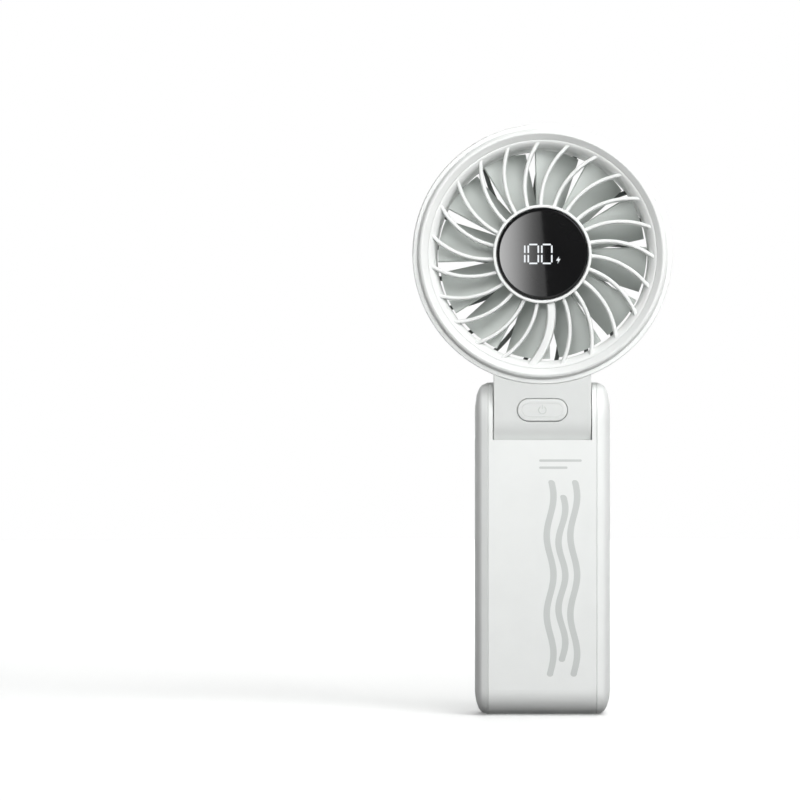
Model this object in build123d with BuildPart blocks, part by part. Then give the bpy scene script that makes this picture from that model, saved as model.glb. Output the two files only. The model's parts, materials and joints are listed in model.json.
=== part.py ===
"""Folding handheld electric fan: a round head on a slab handle, joined by a friction hinge.

Frame: +Z up, -Y to the front, +X to the right seen from the front. The origin is the centre of
the handle's flat base. All lengths are in millimetres.
"""
from build123d import *
from math import cos, pi, radians, sin, sqrt
import os

# ---- overall sizes
hinge_height = 100.1
head_radius = 44.0
half_thickness = 13.0
neck_half_width = 16.55
cover_depth = 4.5
head_gap = 2.7336
fold_angle = 99.0
fold_clearance = 0.35

# ---- head, measured along its own axis (depth is the row's Y) and from it (radius)
shell_wall = 1.5
shell_front = -13.0
head_rear = 15.0
rear_edge_radius = 2.5
front_edge_radius = 0.4
rear_plate = 1.6
lip_inset = 3.2
lip_front = -15.0
lip_round = 0.5
lip_slope_width = 0.9
lip_slope_depth = 0.4
bezel_width = 5.2
bezel_back = -9.0
bezel_wall = 1.5
bezel_step = 0.2
boss_inset = 3.9
boss_radius = 1.9
rim_back = -10.6
screw_radius = 0.85
screw_clearance_radius = 1.0
screw_head_radius = 1.55
screw_head_height = 1.2
screw_bite = 6.0
head_screw_count = 4
first_screw_angle = 45.0

# ---- air duct, grilles and impeller
funnel_width = 2.6
funnel_depth = 2.9
funnel_edge_depth = 0.3
duct_wall = 1.1
duct_front = -8.2
mouth_gap = 0.3
grille_seam_depth = -13.1
grille_ring_depth = 1.6
grille_flange = 1.4
grille_flange_width = 0.5
spoke_count = 23
spoke_width = 1.3
cable_spoke_width = 2.6
cable_spoke_index = 12
spoke_front = -12.7
spoke_back = -8.6
spoke_inset = 0.9
spoke_root = 0.4
spoke_sweep = 15.5
spoke_bulge = 2.6
first_spoke_angle = -2.0
rear_rib_count = 21
rear_rib_width = 1.5
rear_rib_depth = 1.8
rear_rib_sweep = 12.5
rear_rib_bulge = 1.5
rear_rib_root = 0.5
first_rib_angle = 1.3
rear_rib_set_back = 0.2
rear_hub_margin = 2.1
rear_hub_depth = 2.6
rear_cover = 2.0
blade_count = 12
first_blade_angle = 8.0
blade_thickness = 1.0
blade_front = -7.4
blade_rear = 4.6
blade_root_angle = 31.0
blade_tip_angle = 24.2
blade_camber = 1.2
blade_set_back = 0.8
tip_gap = 0.7
rear_tip_gap = 1.0
hub_space = 1.7
hub_draft = 1.0
hub_edge_radius = 1.2
hub_wall = 1.2

# ---- display in the middle of the front grille
display_radius = 15.5
display_rim = 1.2
display_front = -13.7
display_thickness = 1.0
display_board_thickness = 1.0
display_fit = 0.1
hub_ring_front = -14.0
hub_cup_back = -9.0
hub_cup_floor = 1.0
digit_height = 6.9
digit_width = 3.9
digit_stroke = 0.52
segment_gap = 0.14
upright_gap = 0.7
segment_depth = 0.3
digit_pitch = 4.57
digits_centre_x = -3.08
digits_centre_z = 0.0
bolt_place = (5.38, -2.03)
module_margin = 1.0
board_standoff = 0.3

# ---- motor
shaft_radius = 1.0
bearing_radius = 3.0
bearing_length = 3.0
bearing_tube_wall = 0.9
stator_radius = 10.4
stator_core_radius = 5.6
stator_length = 5.0
stator_set_back = 1.0
stator_poles = 9
pole_width = 1.8
coil_thickness = 0.6
coil_length = 3.2
coil_overhang = 0.5
magnet_thickness = 1.3
bell_wall = 0.9
air_gap = 0.3
running_gap = 0.03
motor_front = -5.4
motor_board_margin = 1.1
board_set_back = 1.2
clip_thickness = 0.4

# ---- hinge and neck
neck_wall = 1.5
neck_end_wall = 2.2
neck_clearance = 0.25
neck_overlap = 8.0
neck_edge_radius = 0.4
barrel_clearance = 0.4
notch_seam_drop = 6.5
pin_radius = 4.0
pin_wall = 1.2
pin_flange_width = 1.4
pin_flange_thickness = 1.0
pin_fit = 0.05
bush_wall = 1.0
bush_flange_width = 1.15
bush_flange_thickness = 0.5
washer_thickness = 0.4
nut_width = 2.0
nut_thickness = 0.65
neck_screw_x = 6.0
neck_screw_inset = 1.3
neck_boss_length = 8.5
neck_boss_radius = 2.0
neck_spotface = 0.6
neck_post_inset = 2.0
neck_post_rise = 2.9
neck_post_radius = 1.7

# ---- handle
ear_wall = 1.65
handle_wall = 1.6
base_corner_radius = 9.0
seam_edge_radius = 0.35
part_gap = 0.05
cover_wall = 1.6
cover_cavity = 2.3
cover_facet = 1.85
cover_facet_inset = 0.8
cover_shoulder_drop = 1.3
cover_shoulder_inset = 2.2
cover_crown_drop = 0.4
cover_crown_inset = 4.6
cover_face_margin = 1.0
cap_radius = 8.5
cap_gap = 0.15
cap_slope_depth = 0.55
cap_slope_margin = 0.4
lanyard_radius = 4.8
lanyard_bar_width = 2.0
lanyard_bar_thickness = 0.9
lanyard_depth = 2.0
bar_overlap = 0.3

# ---- power button on the neck
button_half_length = 8.45
button_half_height = 3.75
button_rise = 3.6
button_gap = 0.25
button_proud = 0.15
button_stem_length = 1.88
button_flange_margin = 1.0
button_flange_thickness = 0.8
button_rest_gap = 0.12
button_edge_radius = 0.3
button_board_width = 24.0
button_board_height = 9.0
button_board_thickness = 1.0
button_fit = 0.05
switch_size = 6.0
switch_height = 2.4
switch_base = 0.8
plunger_radius = 1.7
plunger_proud = 0.5
plunger_depth = 0.6

# ---- battery and electronics
cell_side_gap = 1.85
cell_end_gap = 2.0
cell_edge_radius = 1.5
foam_thickness = 0.8
electronics_room = 6.8
board_gap = 2.0
board_overhang = 1.5
board_top_gap = 9.6
board_corner_radius = 1.0
board_boss_inset = 4.0
board_screw_inset = 2.7
board_boss_radius = 2.0
control_board_thickness = 1.0
chip_height = 1.6
chip_places = ((-7.0, -4.0, 5.0), (4.0, -8.0, 4.0), (6.0, 6.0, 6.5), (-6.0, 10.0, 3.6))
socket_rise = 2.0
socket_width = 8.9
socket_height = 3.2
socket_wall = 0.3
socket_fit = 0.15
socket_tongue = (6.6, 4.0, 0.7)
shell_boss_radius = 3.0
shell_boss_low_z = 9.5
boss_side_gap = 0.25
boss_end_gap = 0.3
plug_radius = 2.2
plug_depth = 0.9

# ---- what follows from the sizes above: hinge, neck and handle
hinge_z = hinge_height
barrel_radius = half_thickness
notch_half_width = neck_half_width + neck_clearance
body_half_width = notch_half_width + ear_wall
cover_inner = body_half_width + part_gap
handle_half_width = cover_inner + cover_depth
wall_inner = body_half_width - handle_wall
inner_face = half_thickness - handle_wall
neck_inner_face = half_thickness - neck_wall
neck_inner_half_width = neck_half_width - neck_end_wall
hinge_drop = half_thickness + head_gap + sqrt(head_radius**2 - notch_half_width**2)
head_centre_z = hinge_z + hinge_drop
fold_sine, fold_lean = sin(radians(fold_angle)), -cos(radians(fold_angle))
folding_rear = max(head_rear, half_thickness)
folded_reach = (half_thickness + folding_rear * fold_lean) / fold_sine
notch_rear_drop = folding_rear * fold_sine + folded_reach * fold_lean + fold_clearance
pin_bore_radius = pin_radius - pin_wall
pin_flange_radius = pin_radius + pin_flange_width
bush_radius = pin_radius + pin_fit + bush_wall
bush_flange_radius = bush_radius + bush_flange_width
nut_radius = pin_radius + nut_width
bush_end = body_half_width + bush_flange_thickness
washer_end = bush_end + washer_thickness
nut_start = washer_end + part_gap
pin_end = nut_start + nut_thickness
cap_back = pin_end + cap_gap
cap_edge = handle_half_width - cap_slope_depth

# ---- battery, boards and button
shell_screw_x = wall_inner - shell_boss_radius - boss_side_gap
shell_boss_high_z = hinge_z - notch_rear_drop - handle_wall - shell_boss_radius - boss_end_gap
cell_width = 2 * (wall_inner - cell_side_gap)
cell_thickness = (2 * inner_face - foam_thickness - electronics_room) / 2
cell_base_z = shell_boss_low_z + shell_boss_radius + cell_end_gap
cell_top_z = shell_boss_high_z - shell_boss_radius - cell_end_gap
cell_length = cell_top_z - cell_base_z
battery_rear = 2 * cell_thickness + foam_thickness - inner_face
control_board_front = battery_rear + board_gap
control_board_rear = control_board_front + control_board_thickness
board_base_z = cell_base_z - board_overhang
board_top_z = cell_top_z - board_top_gap
board_centre_z = (board_base_z + board_top_z) / 2
board_boss_low_z = board_base_z + board_boss_inset
board_boss_high_z = board_top_z - board_boss_inset
board_screw_x = cell_width / 2 - board_screw_inset
socket_z = board_base_z + socket_rise
button_z = hinge_z + button_rise
flange_front = button_rest_gap - neck_inner_face
stem_front = flange_front + button_flange_thickness
plunger_front = stem_front + button_stem_length
switch_front = plunger_front + plunger_proud
switch_back = switch_front + switch_height
button_board_rear = switch_back + button_board_thickness
neck_boss_base = head_centre_z - head_radius - neck_boss_length
neck_post_z = button_z + neck_post_rise
neck_screw_y = neck_inner_face - neck_screw_inset

# ---- head, grilles and motor
housing_bore = head_radius - shell_wall
lip_radius = head_radius - lip_inset
bezel_inner_radius = head_radius - bezel_width
bezel_wall_radius = housing_bore - bezel_wall
boss_circle_radius = head_radius - boss_inset
spoke_end_radius = bezel_inner_radius - spoke_inset
duct_radius = bezel_inner_radius - funnel_width
duct_outer_radius = duct_radius + duct_wall
rear_mouth_radius = duct_outer_radius + mouth_gap
grille_flange_radius = rear_mouth_radius + grille_flange_width
rear_plate_front = head_rear - rear_plate
grille_flange_front = rear_plate_front - grille_flange
blade_tip_radius = duct_radius - tip_gap
blade_rear_radius = duct_radius - rear_tip_gap
hub_ring_radius = display_radius + display_rim
bearing_tube_radius = bearing_radius + bearing_tube_wall
bell_inner_radius = stator_radius + air_gap + magnet_thickness
bell_outer_radius = bell_inner_radius + bell_wall
hub_front_radius = bell_outer_radius + hub_space
hub_rear_radius = hub_front_radius + hub_draft
motor_board_radius = stator_radius + motor_board_margin
rear_hub_radius = motor_board_radius + rear_hub_margin

head_axis = Axis((0, 0, head_centre_z), (0, 1, 0))
hinge_axis = Axis((0, 0, hinge_z), (1, 0, 0))
head_section = Plane(origin=(0, 0, head_centre_z), x_dir=(0, 1, 0), z_dir=(1, 0, 0))
hinge_section = Plane(origin=(0, 0, hinge_z), x_dir=(1, 0, 0), z_dir=(0, -1, 0))

os.makedirs("parts", exist_ok=True)


# ---------------------------------------------------------------- shared shapes
def save(piece, label):
    """Label a finished piece and write it as its own file."""
    piece.part.label = label
    export_step(piece.part, f"parts/{label}.step")


def front_plane(depth, height=head_centre_z):
    """Upright plane at a depth, facing front, with x to the right and y up."""
    return Plane(origin=(0, depth, height), x_dir=(1, 0, 0), z_dir=(0, -1, 0))


def polar(radius, angle):
    """Point on a circle, the angle counted clockwise from the top as seen from the front."""
    return (radius * sin(radians(angle)), radius * cos(radians(angle)))


def section(plane, points, rounds=()):
    """Closed outline through the points, with the corners nearest to the given places rounded."""
    with BuildSketch(plane) as outline:
        with BuildLine():
            Polyline(*points, close=True)
        make_face()
        for place, radius in rounds:
            local = min(vertices(), key=lambda v: (v.X - place[0]) ** 2 + (v.Y - place[1]) ** 2)
            fillet(local, radius)
    return outline.sketch


def turn(points, rounds=(), mode=Mode.ADD):
    """Turn a half section, given as (depth, radius) points, round the head's axis."""
    revolve(section(head_section, points, rounds), axis=head_axis, mode=mode)


def ring(front, back, outer, inner=0.0, mode=Mode.ADD):
    """Plain ring or disc about the head's axis."""
    turn([(front, inner), (front, outer), (back, outer), (back, inner)], mode=mode)


def hinge_ring(start, end, outer, inner=0.0, mode=Mode.ADD):
    """Plain ring or disc about the hinge axis, between two places along X."""
    points = [(start, inner), (start, outer), (end, outer), (end, inner)]
    revolve(section(hinge_section, points), axis=hinge_axis, mode=mode)


def rod(plane, places, radius, length, mode=Mode.ADD):
    """Round rods or holes that start on a plane and run along its normal."""
    with BuildSketch(plane) as ends:
        with Locations(*places):
            Circle(radius)
    extrude(ends.sketch, amount=length, mode=mode)


def block(centre, size, mode=Mode.ADD):
    """Plain block by its centre and size."""
    with Locations(centre):
        Box(*size, mode=mode)


def rib_sketch(plane, reach, outer_angle, sweep, bulge, width):
    """Curved rib: it leaves the hub near radial and bends clockwise towards the rim."""
    inner_radius, outer_radius = reach
    start = Vector(*polar(inner_radius, outer_angle - sweep))
    end = Vector(*polar(outer_radius, outer_angle))
    chord = (end - start).normalized()
    middle = (start + end) * 0.5 + Vector(-chord.Y, chord.X) * bulge
    with BuildSketch(plane) as rib:
        with BuildLine():
            ThreePointArc(start, middle, end)
        trace(line_width=width)
    return rib.sketch


def pill(plane, half_length, half_height, grow=0.0):
    """Pill-shaped outline on a plane, grown all round."""
    with BuildSketch(plane) as outline:
        SlotOverall(2 * (half_length + grow), 2 * (half_height + grow))
    return outline.sketch


def handle_outline(place, inset=0.0):
    """Side outline of the handle at a place along X: round hinge end, round base corners."""
    edge = half_thickness - inset
    corner = base_corner_radius - inset
    bend = corner * (1 - cos(pi / 4))
    with BuildSketch(Plane.YZ.offset(place)) as outline:
        with BuildLine():
            left = Line((-edge, base_corner_radius), (-edge, hinge_z))
            top = ThreePointArc(left @ 1, (0, hinge_z + edge), (edge, hinge_z))
            right = Line(top @ 1, (edge, base_corner_radius))
            low_right = ThreePointArc(right @ 1, (edge - bend, inset + bend), (edge - corner, inset))
            base = Line(low_right @ 1, (-edge + corner, inset))
            ThreePointArc(base @ 1, (-edge + bend, inset + bend), left @ 0)
        make_face()
    return outline.sketch


def notch_outline(place, margin=0.0):
    """Side outline of the space that the neck turns in, grown by a margin."""
    reach = 2 * half_thickness
    front_depth = notch_seam_drop + margin
    rear_depth = notch_rear_drop + margin
    with BuildSketch(Plane.YZ.offset(place)) as outline:
        with Locations((0, hinge_z)):
            Circle(barrel_radius + barrel_clearance + margin)
        with Locations((-reach / 2, hinge_z + (reach - front_depth) / 2)):
            Rectangle(reach, reach + front_depth)
        with Locations(((reach - margin) / 2, hinge_z + (reach - rear_depth) / 2)):
            Rectangle(reach + margin, reach + rear_depth)
    return outline.sketch


def neck_outline(place, radius, top):
    """Side outline of the neck: a round barrel with flat faces rising from it."""
    with BuildSketch(Plane.YZ.offset(place)) as outline:
        with Locations((0, hinge_z)):
            Circle(radius)
        with Locations((0, (hinge_z + top) / 2)):
            Rectangle(2 * radius, top - hinge_z)
    return outline.sketch


# ---------------------------------------------------------------- handle shells
shell_boss_heights = (shell_boss_low_z, shell_boss_high_z)
board_boss_heights = (board_boss_low_z, board_boss_high_z)
shell_boss_places = [(x, z) for x in (-shell_screw_x, shell_screw_x) for z in shell_boss_heights]
board_boss_places = [(x, z) for x in (-board_screw_x, board_screw_x) for z in board_boss_heights]
screw_seat = half_thickness - plug_depth - screw_head_height

with BuildPart() as handle_cavity:
    extrude(handle_outline(-wall_inner, handle_wall), amount=2 * wall_inner)
    extrude(notch_outline(-wall_inner, handle_wall), amount=2 * wall_inner, mode=Mode.SUBTRACT)

with BuildPart() as handle_blank:
    extrude(handle_outline(-body_half_width), amount=2 * body_half_width)
    seams = handle_blank.edges().group_by(Axis.X)
    fillet(seams[0] + seams[-1], seam_edge_radius)
    extrude(notch_outline(-notch_half_width), amount=2 * notch_half_width, mode=Mode.SUBTRACT)
    add(handle_cavity.part, mode=Mode.SUBTRACT)
    hinge_ring(-body_half_width, body_half_width, bush_radius, mode=Mode.SUBTRACT)

with BuildPart() as handle_front_shell:
    add(handle_blank.part)
    split(bisect_by=Plane.XZ, keep=Keep.TOP)
    rod(front_plane(0, 0), shell_boss_places, shell_boss_radius, inner_face)
    rod(front_plane(0, 0), shell_boss_places, screw_radius, screw_bite, mode=Mode.SUBTRACT)
save(handle_front_shell, "handle_front_shell")

with BuildPart() as handle_rear_shell:
    add(handle_blank.part)
    split(bisect_by=Plane.XZ, keep=Keep.BOTTOM)
    rod(front_plane(inner_face, 0), shell_boss_places, shell_boss_radius, inner_face)
    rear_face = front_plane(half_thickness, 0)
    rod(rear_face, shell_boss_places, screw_clearance_radius, half_thickness, mode=Mode.SUBTRACT)
    rod(rear_face, shell_boss_places, plug_radius, half_thickness - screw_seat, mode=Mode.SUBTRACT)
    board_boss_length = inner_face - control_board_front - control_board_thickness
    rod(front_plane(inner_face, 0), board_boss_places, board_boss_radius, board_boss_length)
    rod(front_plane(inner_face, 0), board_boss_places, screw_radius, board_boss_length, mode=Mode.SUBTRACT)
    socket_face = front_plane(half_thickness, socket_z)
    socket_hole = pill(socket_face, socket_width / 2, socket_height / 2, socket_fit)
    extrude(socket_hole, amount=handle_wall, mode=Mode.SUBTRACT)
save(handle_rear_shell, "handle_rear_shell")

with BuildPart() as shell_screws:
    head_top = front_plane(screw_seat + screw_head_height, 0)
    rod(head_top, shell_boss_places, screw_head_radius, screw_head_height)
    rod(front_plane(screw_seat, 0), shell_boss_places, screw_radius, screw_seat + screw_bite)
save(shell_screws, "shell_screws")

with BuildPart() as screw_plugs:
    rod(front_plane(half_thickness, 0), shell_boss_places, plug_radius, plug_depth)
save(screw_plugs, "screw_plugs")

# ---------------------------------------------------------------- side covers and their hinge caps
cover_steps = [(0.0, 0.0), (cover_facet, cover_facet_inset)]
cover_steps += [(cover_depth - cover_shoulder_drop, cover_shoulder_inset)]
cover_steps += [(cover_depth - cover_crown_drop, cover_crown_inset)]
cover_steps += [(cover_depth, base_corner_radius - cover_face_margin)]

with BuildPart() as right_side_cover:
    loft([handle_outline(cover_inner + out, inset) for out, inset in cover_steps], ruled=True)
    hollow = handle_outline(cover_inner, cover_wall + cover_facet_inset)
    extrude(hollow, amount=cover_cavity, mode=Mode.SUBTRACT)
    hinge_ring(cover_inner, handle_half_width, cap_radius + part_gap, mode=Mode.SUBTRACT)
save(right_side_cover, "right_side_cover")

with BuildPart() as left_side_cover:
    mirror(right_side_cover.part, about=Plane.YZ)
save(left_side_cover, "left_side_cover")

cap_points = [(cap_back, 0), (cap_back, cap_radius), (cap_edge, cap_radius)]
cap_points += [(handle_half_width, lanyard_radius + cap_slope_margin), (handle_half_width, 0)]

with BuildPart() as hinge_cap:
    revolve(section(hinge_section, cap_points), axis=hinge_axis)
save(hinge_cap, "hinge_cap")

with BuildPart() as lanyard_cap:
    mirror(hinge_cap.part, about=Plane.YZ)
    hinge_ring(-handle_half_width, lanyard_depth - handle_half_width, lanyard_radius, mode=Mode.SUBTRACT)
    bar_centre = (lanyard_bar_thickness / 2 - handle_half_width, 0, hinge_z)
    block(bar_centre, (lanyard_bar_thickness, lanyard_bar_width, 2 * (lanyard_radius + bar_overlap)))
save(lanyard_cap, "lanyard_cap")

# ---------------------------------------------------------------- hinge hardware, one set on each side
def both_sides(piece):
    """Add the mirror image of the right-hand solid on the left."""
    mirror(piece.part, about=Plane.YZ)


with BuildPart() as hinge_bushes:
    hinge_ring(notch_half_width, bush_end, bush_radius, pin_radius + pin_fit)
    hinge_ring(body_half_width, bush_end, bush_flange_radius, pin_radius + pin_fit)
    both_sides(hinge_bushes)
save(hinge_bushes, "hinge_bushes")

with BuildPart() as spring_washers:
    hinge_ring(bush_end, washer_end, nut_radius, pin_radius + pin_fit)
    both_sides(spring_washers)
save(spring_washers, "spring_washers")

with BuildPart() as hinge_nuts:
    hinge_ring(nut_start, pin_end, nut_radius, pin_radius)
    both_sides(hinge_nuts)
save(hinge_nuts, "hinge_nuts")

with BuildPart() as hinge_pins:
    pin_start = neck_inner_half_width - pin_flange_thickness
    hinge_ring(pin_start, pin_end, pin_radius, pin_bore_radius)
    hinge_ring(pin_start, neck_inner_half_width, pin_flange_radius, pin_bore_radius)
    both_sides(hinge_pins)
save(hinge_pins, "hinge_pins")

# ---------------------------------------------------------------- battery and electronics in the handle
with BuildPart() as battery_cells:
    for place in (0.5, 1.5):
        cell_y = foam_thickness - inner_face + place * cell_thickness
        block((0, cell_y, cell_base_z + cell_length / 2), (cell_width, cell_thickness, cell_length))
    fillet(battery_cells.edges().filter_by(Axis.Z), cell_edge_radius)
save(battery_cells, "battery_cells")

with BuildPart() as battery_foam:
    foam_y = foam_thickness / 2 - inner_face
    foam_size = (cell_width - 2 * cell_edge_radius, foam_thickness, cell_length)
    block((0, foam_y, cell_base_z + cell_length / 2), foam_size)
save(battery_foam, "battery_foam")

board_size = (cell_width, control_board_thickness, board_top_z - board_base_z)

with BuildPart() as control_board:
    board_y = control_board_front + control_board_thickness / 2
    block((0, board_y, board_centre_z), board_size)
    fillet(control_board.edges().filter_by(Axis.Y), board_corner_radius)
    board_face = front_plane(control_board_rear, 0)
    rod(board_face, board_boss_places, screw_radius, control_board_thickness, mode=Mode.SUBTRACT)
save(control_board, "control_board")

with BuildPart() as board_screws:
    rod(front_plane(control_board_front, 0), board_boss_places, screw_head_radius, screw_head_height)
    rod(front_plane(inner_face, 0), board_boss_places, screw_radius, inner_face - control_board_front)
save(board_screws, "board_screws")

with BuildPart() as board_chips:
    chip_y = control_board_rear + chip_height / 2
    for x, rise, size in chip_places:
        block((x, chip_y, board_centre_z + rise), (size, chip_height, size))
save(board_chips, "board_chips")

with BuildPart() as usb_socket:
    mouth = front_plane(half_thickness, socket_z)
    socket_length = half_thickness - control_board_rear
    extrude(pill(mouth, socket_width / 2, socket_height / 2), amount=socket_length)
    hollow = pill(mouth, socket_width / 2 - socket_wall, socket_height / 2 - socket_wall)
    extrude(hollow, amount=socket_length - 2 * socket_wall, mode=Mode.SUBTRACT)
    tongue_y = control_board_rear + socket_tongue[1] / 2
    block((0, tongue_y, socket_z), socket_tongue)
save(usb_socket, "usb_socket")

# ---------------------------------------------------------------- neck
head_clearance_radius = head_radius + part_gap
neck_top = head_centre_z - head_radius + neck_overlap
neck_screw_places = [(x, neck_screw_y) for x in (-neck_screw_x, neck_screw_x)]
neck_post_x = button_board_width / 2 - neck_post_inset
neck_post_places = [(x, neck_post_z) for x in (-neck_post_x, neck_post_x)]

with BuildPart() as neck_cavity:
    hollow = neck_outline(-neck_inner_half_width, neck_inner_face, neck_top)
    extrude(hollow, amount=2 * neck_inner_half_width)

with BuildPart() as neck_blank:
    extrude(neck_outline(-neck_half_width, barrel_radius, neck_top), amount=2 * neck_half_width)
    neck_ends = neck_blank.edges().group_by(Axis.X)
    fillet(neck_ends[0] + neck_ends[-1], neck_edge_radius)
    add(neck_cavity.part, mode=Mode.SUBTRACT)
    hinge_ring(-neck_half_width, neck_half_width, pin_radius, mode=Mode.SUBTRACT)

with BuildPart() as neck_front:
    add(neck_blank.part)
    split(bisect_by=Plane.XZ, keep=Keep.TOP)
    ring(-half_thickness, half_thickness, head_clearance_radius, mode=Mode.SUBTRACT)
    button_hole = pill(front_plane(0, button_z), button_half_length, button_half_height, button_gap)
    extrude(button_hole, amount=half_thickness, mode=Mode.SUBTRACT)
save(neck_front, "neck_front")

with BuildPart() as neck_rear:
    add(neck_blank.part)
    split(bisect_by=Plane.XZ, keep=Keep.BOTTOM)
    boss_plane = Plane.XY.offset(neck_boss_base)
    boss_reach = neck_top - neck_boss_base
    rod(boss_plane, neck_screw_places, neck_boss_radius, boss_reach)
    rod(boss_plane, neck_screw_places, screw_radius, boss_reach, mode=Mode.SUBTRACT)
    post_plane = front_plane(neck_inner_face, 0)
    post_length = neck_inner_face - button_board_rear
    rod(post_plane, neck_post_places, neck_post_radius, post_length)
    rod(post_plane, neck_post_places, screw_radius, post_length, mode=Mode.SUBTRACT)
    ring(-half_thickness, half_thickness, head_clearance_radius, mode=Mode.SUBTRACT)
save(neck_rear, "neck_rear")

neck_screw_seat = head_centre_z - housing_bore - neck_spotface
with BuildPart() as neck_screws:
    rod(Plane.XY.offset(neck_boss_base), neck_screw_places, screw_radius, neck_screw_seat - neck_boss_base)
    rod(Plane.XY.offset(neck_screw_seat), neck_screw_places, screw_head_radius, screw_head_height)
save(neck_screws, "neck_screws")

with BuildPart() as button_board:
    board_y = switch_back + button_board_thickness / 2
    block((0, board_y, button_z), (button_board_width, button_board_thickness, button_board_height))
    board_face = front_plane(button_board_rear, 0)
    rod(board_face, neck_post_places, screw_radius, button_board_thickness, mode=Mode.SUBTRACT)
save(button_board, "button_board")

with BuildPart() as button_board_screws:
    rod(front_plane(switch_back, 0), neck_post_places, screw_head_radius, screw_head_height)
    rod(front_plane(neck_inner_face, 0), neck_post_places, screw_radius, neck_inner_face - switch_back)
save(button_board_screws, "button_board_screws")

with BuildPart() as button_switch:
    block((0, switch_back - switch_height / 2, button_z), (switch_size, switch_height, switch_size))
    well = front_plane(switch_back - switch_base, button_z)
    rod(well, [(0, 0)], plunger_radius + button_fit, switch_height, mode=Mode.SUBTRACT)
save(button_switch, "button_switch")

# ---------------------------------------------------------------- power button
with BuildPart() as power_button:
    cap_plane = front_plane(flange_front, button_z)
    cap_height = half_thickness + button_proud + flange_front
    extrude(pill(cap_plane, button_half_length, button_half_height), amount=cap_height)
    fillet(power_button.edges().group_by(Axis.Y)[0], button_edge_radius)
    flange_plane = front_plane(stem_front, button_z)
    flange = pill(flange_plane, button_half_length, button_half_height, button_flange_margin)
    extrude(flange, amount=button_flange_thickness)
    rod(front_plane(plunger_front, button_z), [(0, 0)], plunger_radius, plunger_front - stem_front)
save(power_button, "power_button")

with BuildPart() as switch_plunger:
    plunger_back = switch_front + plunger_depth
    rod(front_plane(plunger_back, button_z), [(0, 0)], plunger_radius, plunger_back - plunger_front)
save(switch_plunger, "switch_plunger")

# ---------------------------------------------------------------- head shell
screw_pitch = 360 / head_screw_count
screw_angles = [first_screw_angle + screw_pitch * place for place in range(head_screw_count)]
head_screw_places = [polar(boss_circle_radius, angle) for angle in screw_angles]
head_screw_seat = head_rear - screw_head_height

with BuildPart() as rear_housing:
    wall_points = [(shell_front, housing_bore), (shell_front, head_radius), (head_rear, head_radius)]
    wall_points += [(head_rear, rear_mouth_radius), (rear_plate_front, rear_mouth_radius)]
    wall_points += [(rear_plate_front, housing_bore)]
    wall_rounds = [((head_rear, head_radius), rear_edge_radius)]
    wall_rounds += [((shell_front, head_radius), front_edge_radius)]
    turn(wall_points, wall_rounds)
    rod(front_plane(head_rear), head_screw_places, screw_clearance_radius, rear_plate, mode=Mode.SUBTRACT)
    rod(front_plane(head_rear), head_screw_places, screw_head_radius, screw_head_height, mode=Mode.SUBTRACT)
    neck_side = Plane.XY.offset(head_centre_z - head_radius)
    seat_plane = Plane.XY.offset(neck_screw_seat)
    rod(neck_side, neck_screw_places, screw_clearance_radius, head_radius / 2, mode=Mode.SUBTRACT)
    rod(seat_plane, neck_screw_places, screw_head_radius, head_radius / 2, mode=Mode.SUBTRACT)
save(rear_housing, "rear_housing")

with BuildPart() as front_bezel:
    skirt = housing_bore - part_gap
    ledge = grille_seam_depth + grille_ring_depth
    shoulder = (lip_front + lip_slope_depth, lip_radius + lip_slope_width)
    crest = (lip_front, lip_radius)
    bezel_points = [(bezel_back, skirt), (shell_front - bezel_step, skirt), shoulder, crest]
    bezel_points += [(grille_seam_depth, bezel_inner_radius), (ledge, bezel_inner_radius)]
    bezel_points += [(ledge, bezel_wall_radius), (bezel_back, bezel_wall_radius)]
    turn(bezel_points, [(crest, lip_round), (shoulder, lip_round)])
    rod(front_plane(rear_plate_front), head_screw_places, boss_radius, rear_plate_front - rim_back)
    rod(front_plane(rear_plate_front), head_screw_places, screw_radius, screw_bite, mode=Mode.SUBTRACT)
save(front_bezel, "front_bezel")

with BuildPart() as head_screws:
    rod(front_plane(head_rear), head_screw_places, screw_head_radius, screw_head_height)
    shank = head_screw_seat + screw_bite - rear_plate_front
    rod(front_plane(head_screw_seat), head_screw_places, screw_radius, shank)
save(head_screws, "head_screws")

with BuildPart() as air_duct:
    ring(duct_front, grille_flange_front, duct_outer_radius, duct_radius)
save(air_duct, "air_duct")

# ---------------------------------------------------------------- grilles
with BuildPart() as front_grille:
    rim = bezel_inner_radius - part_gap
    rim_points = [(grille_seam_depth, rim)]
    rim_points += [(grille_seam_depth + funnel_edge_depth, spoke_end_radius)]
    rim_points += [(grille_seam_depth + funnel_depth, duct_radius)]
    rim_points += [(duct_front, duct_radius), (duct_front, duct_outer_radius), (rim_back, duct_outer_radius)]
    rim_points += [(grille_seam_depth + grille_ring_depth, rim)]
    turn(rim_points)
    for place in range(spoke_count):
        angle = first_spoke_angle + 360 / spoke_count * place
        width = cable_spoke_width if place == cable_spoke_index else spoke_width
        reach = (hub_ring_radius - spoke_root, spoke_end_radius)
        spoke = rib_sketch(front_plane(spoke_back), reach, angle, spoke_sweep, spoke_bulge, width)
        extrude(spoke, amount=spoke_back - spoke_front)
    ring(hub_ring_front, hub_cup_back, hub_ring_radius)
    ring(hub_ring_front, hub_cup_back - hub_cup_floor, display_radius + display_fit, mode=Mode.SUBTRACT)
save(front_grille, "front_grille")

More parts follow.
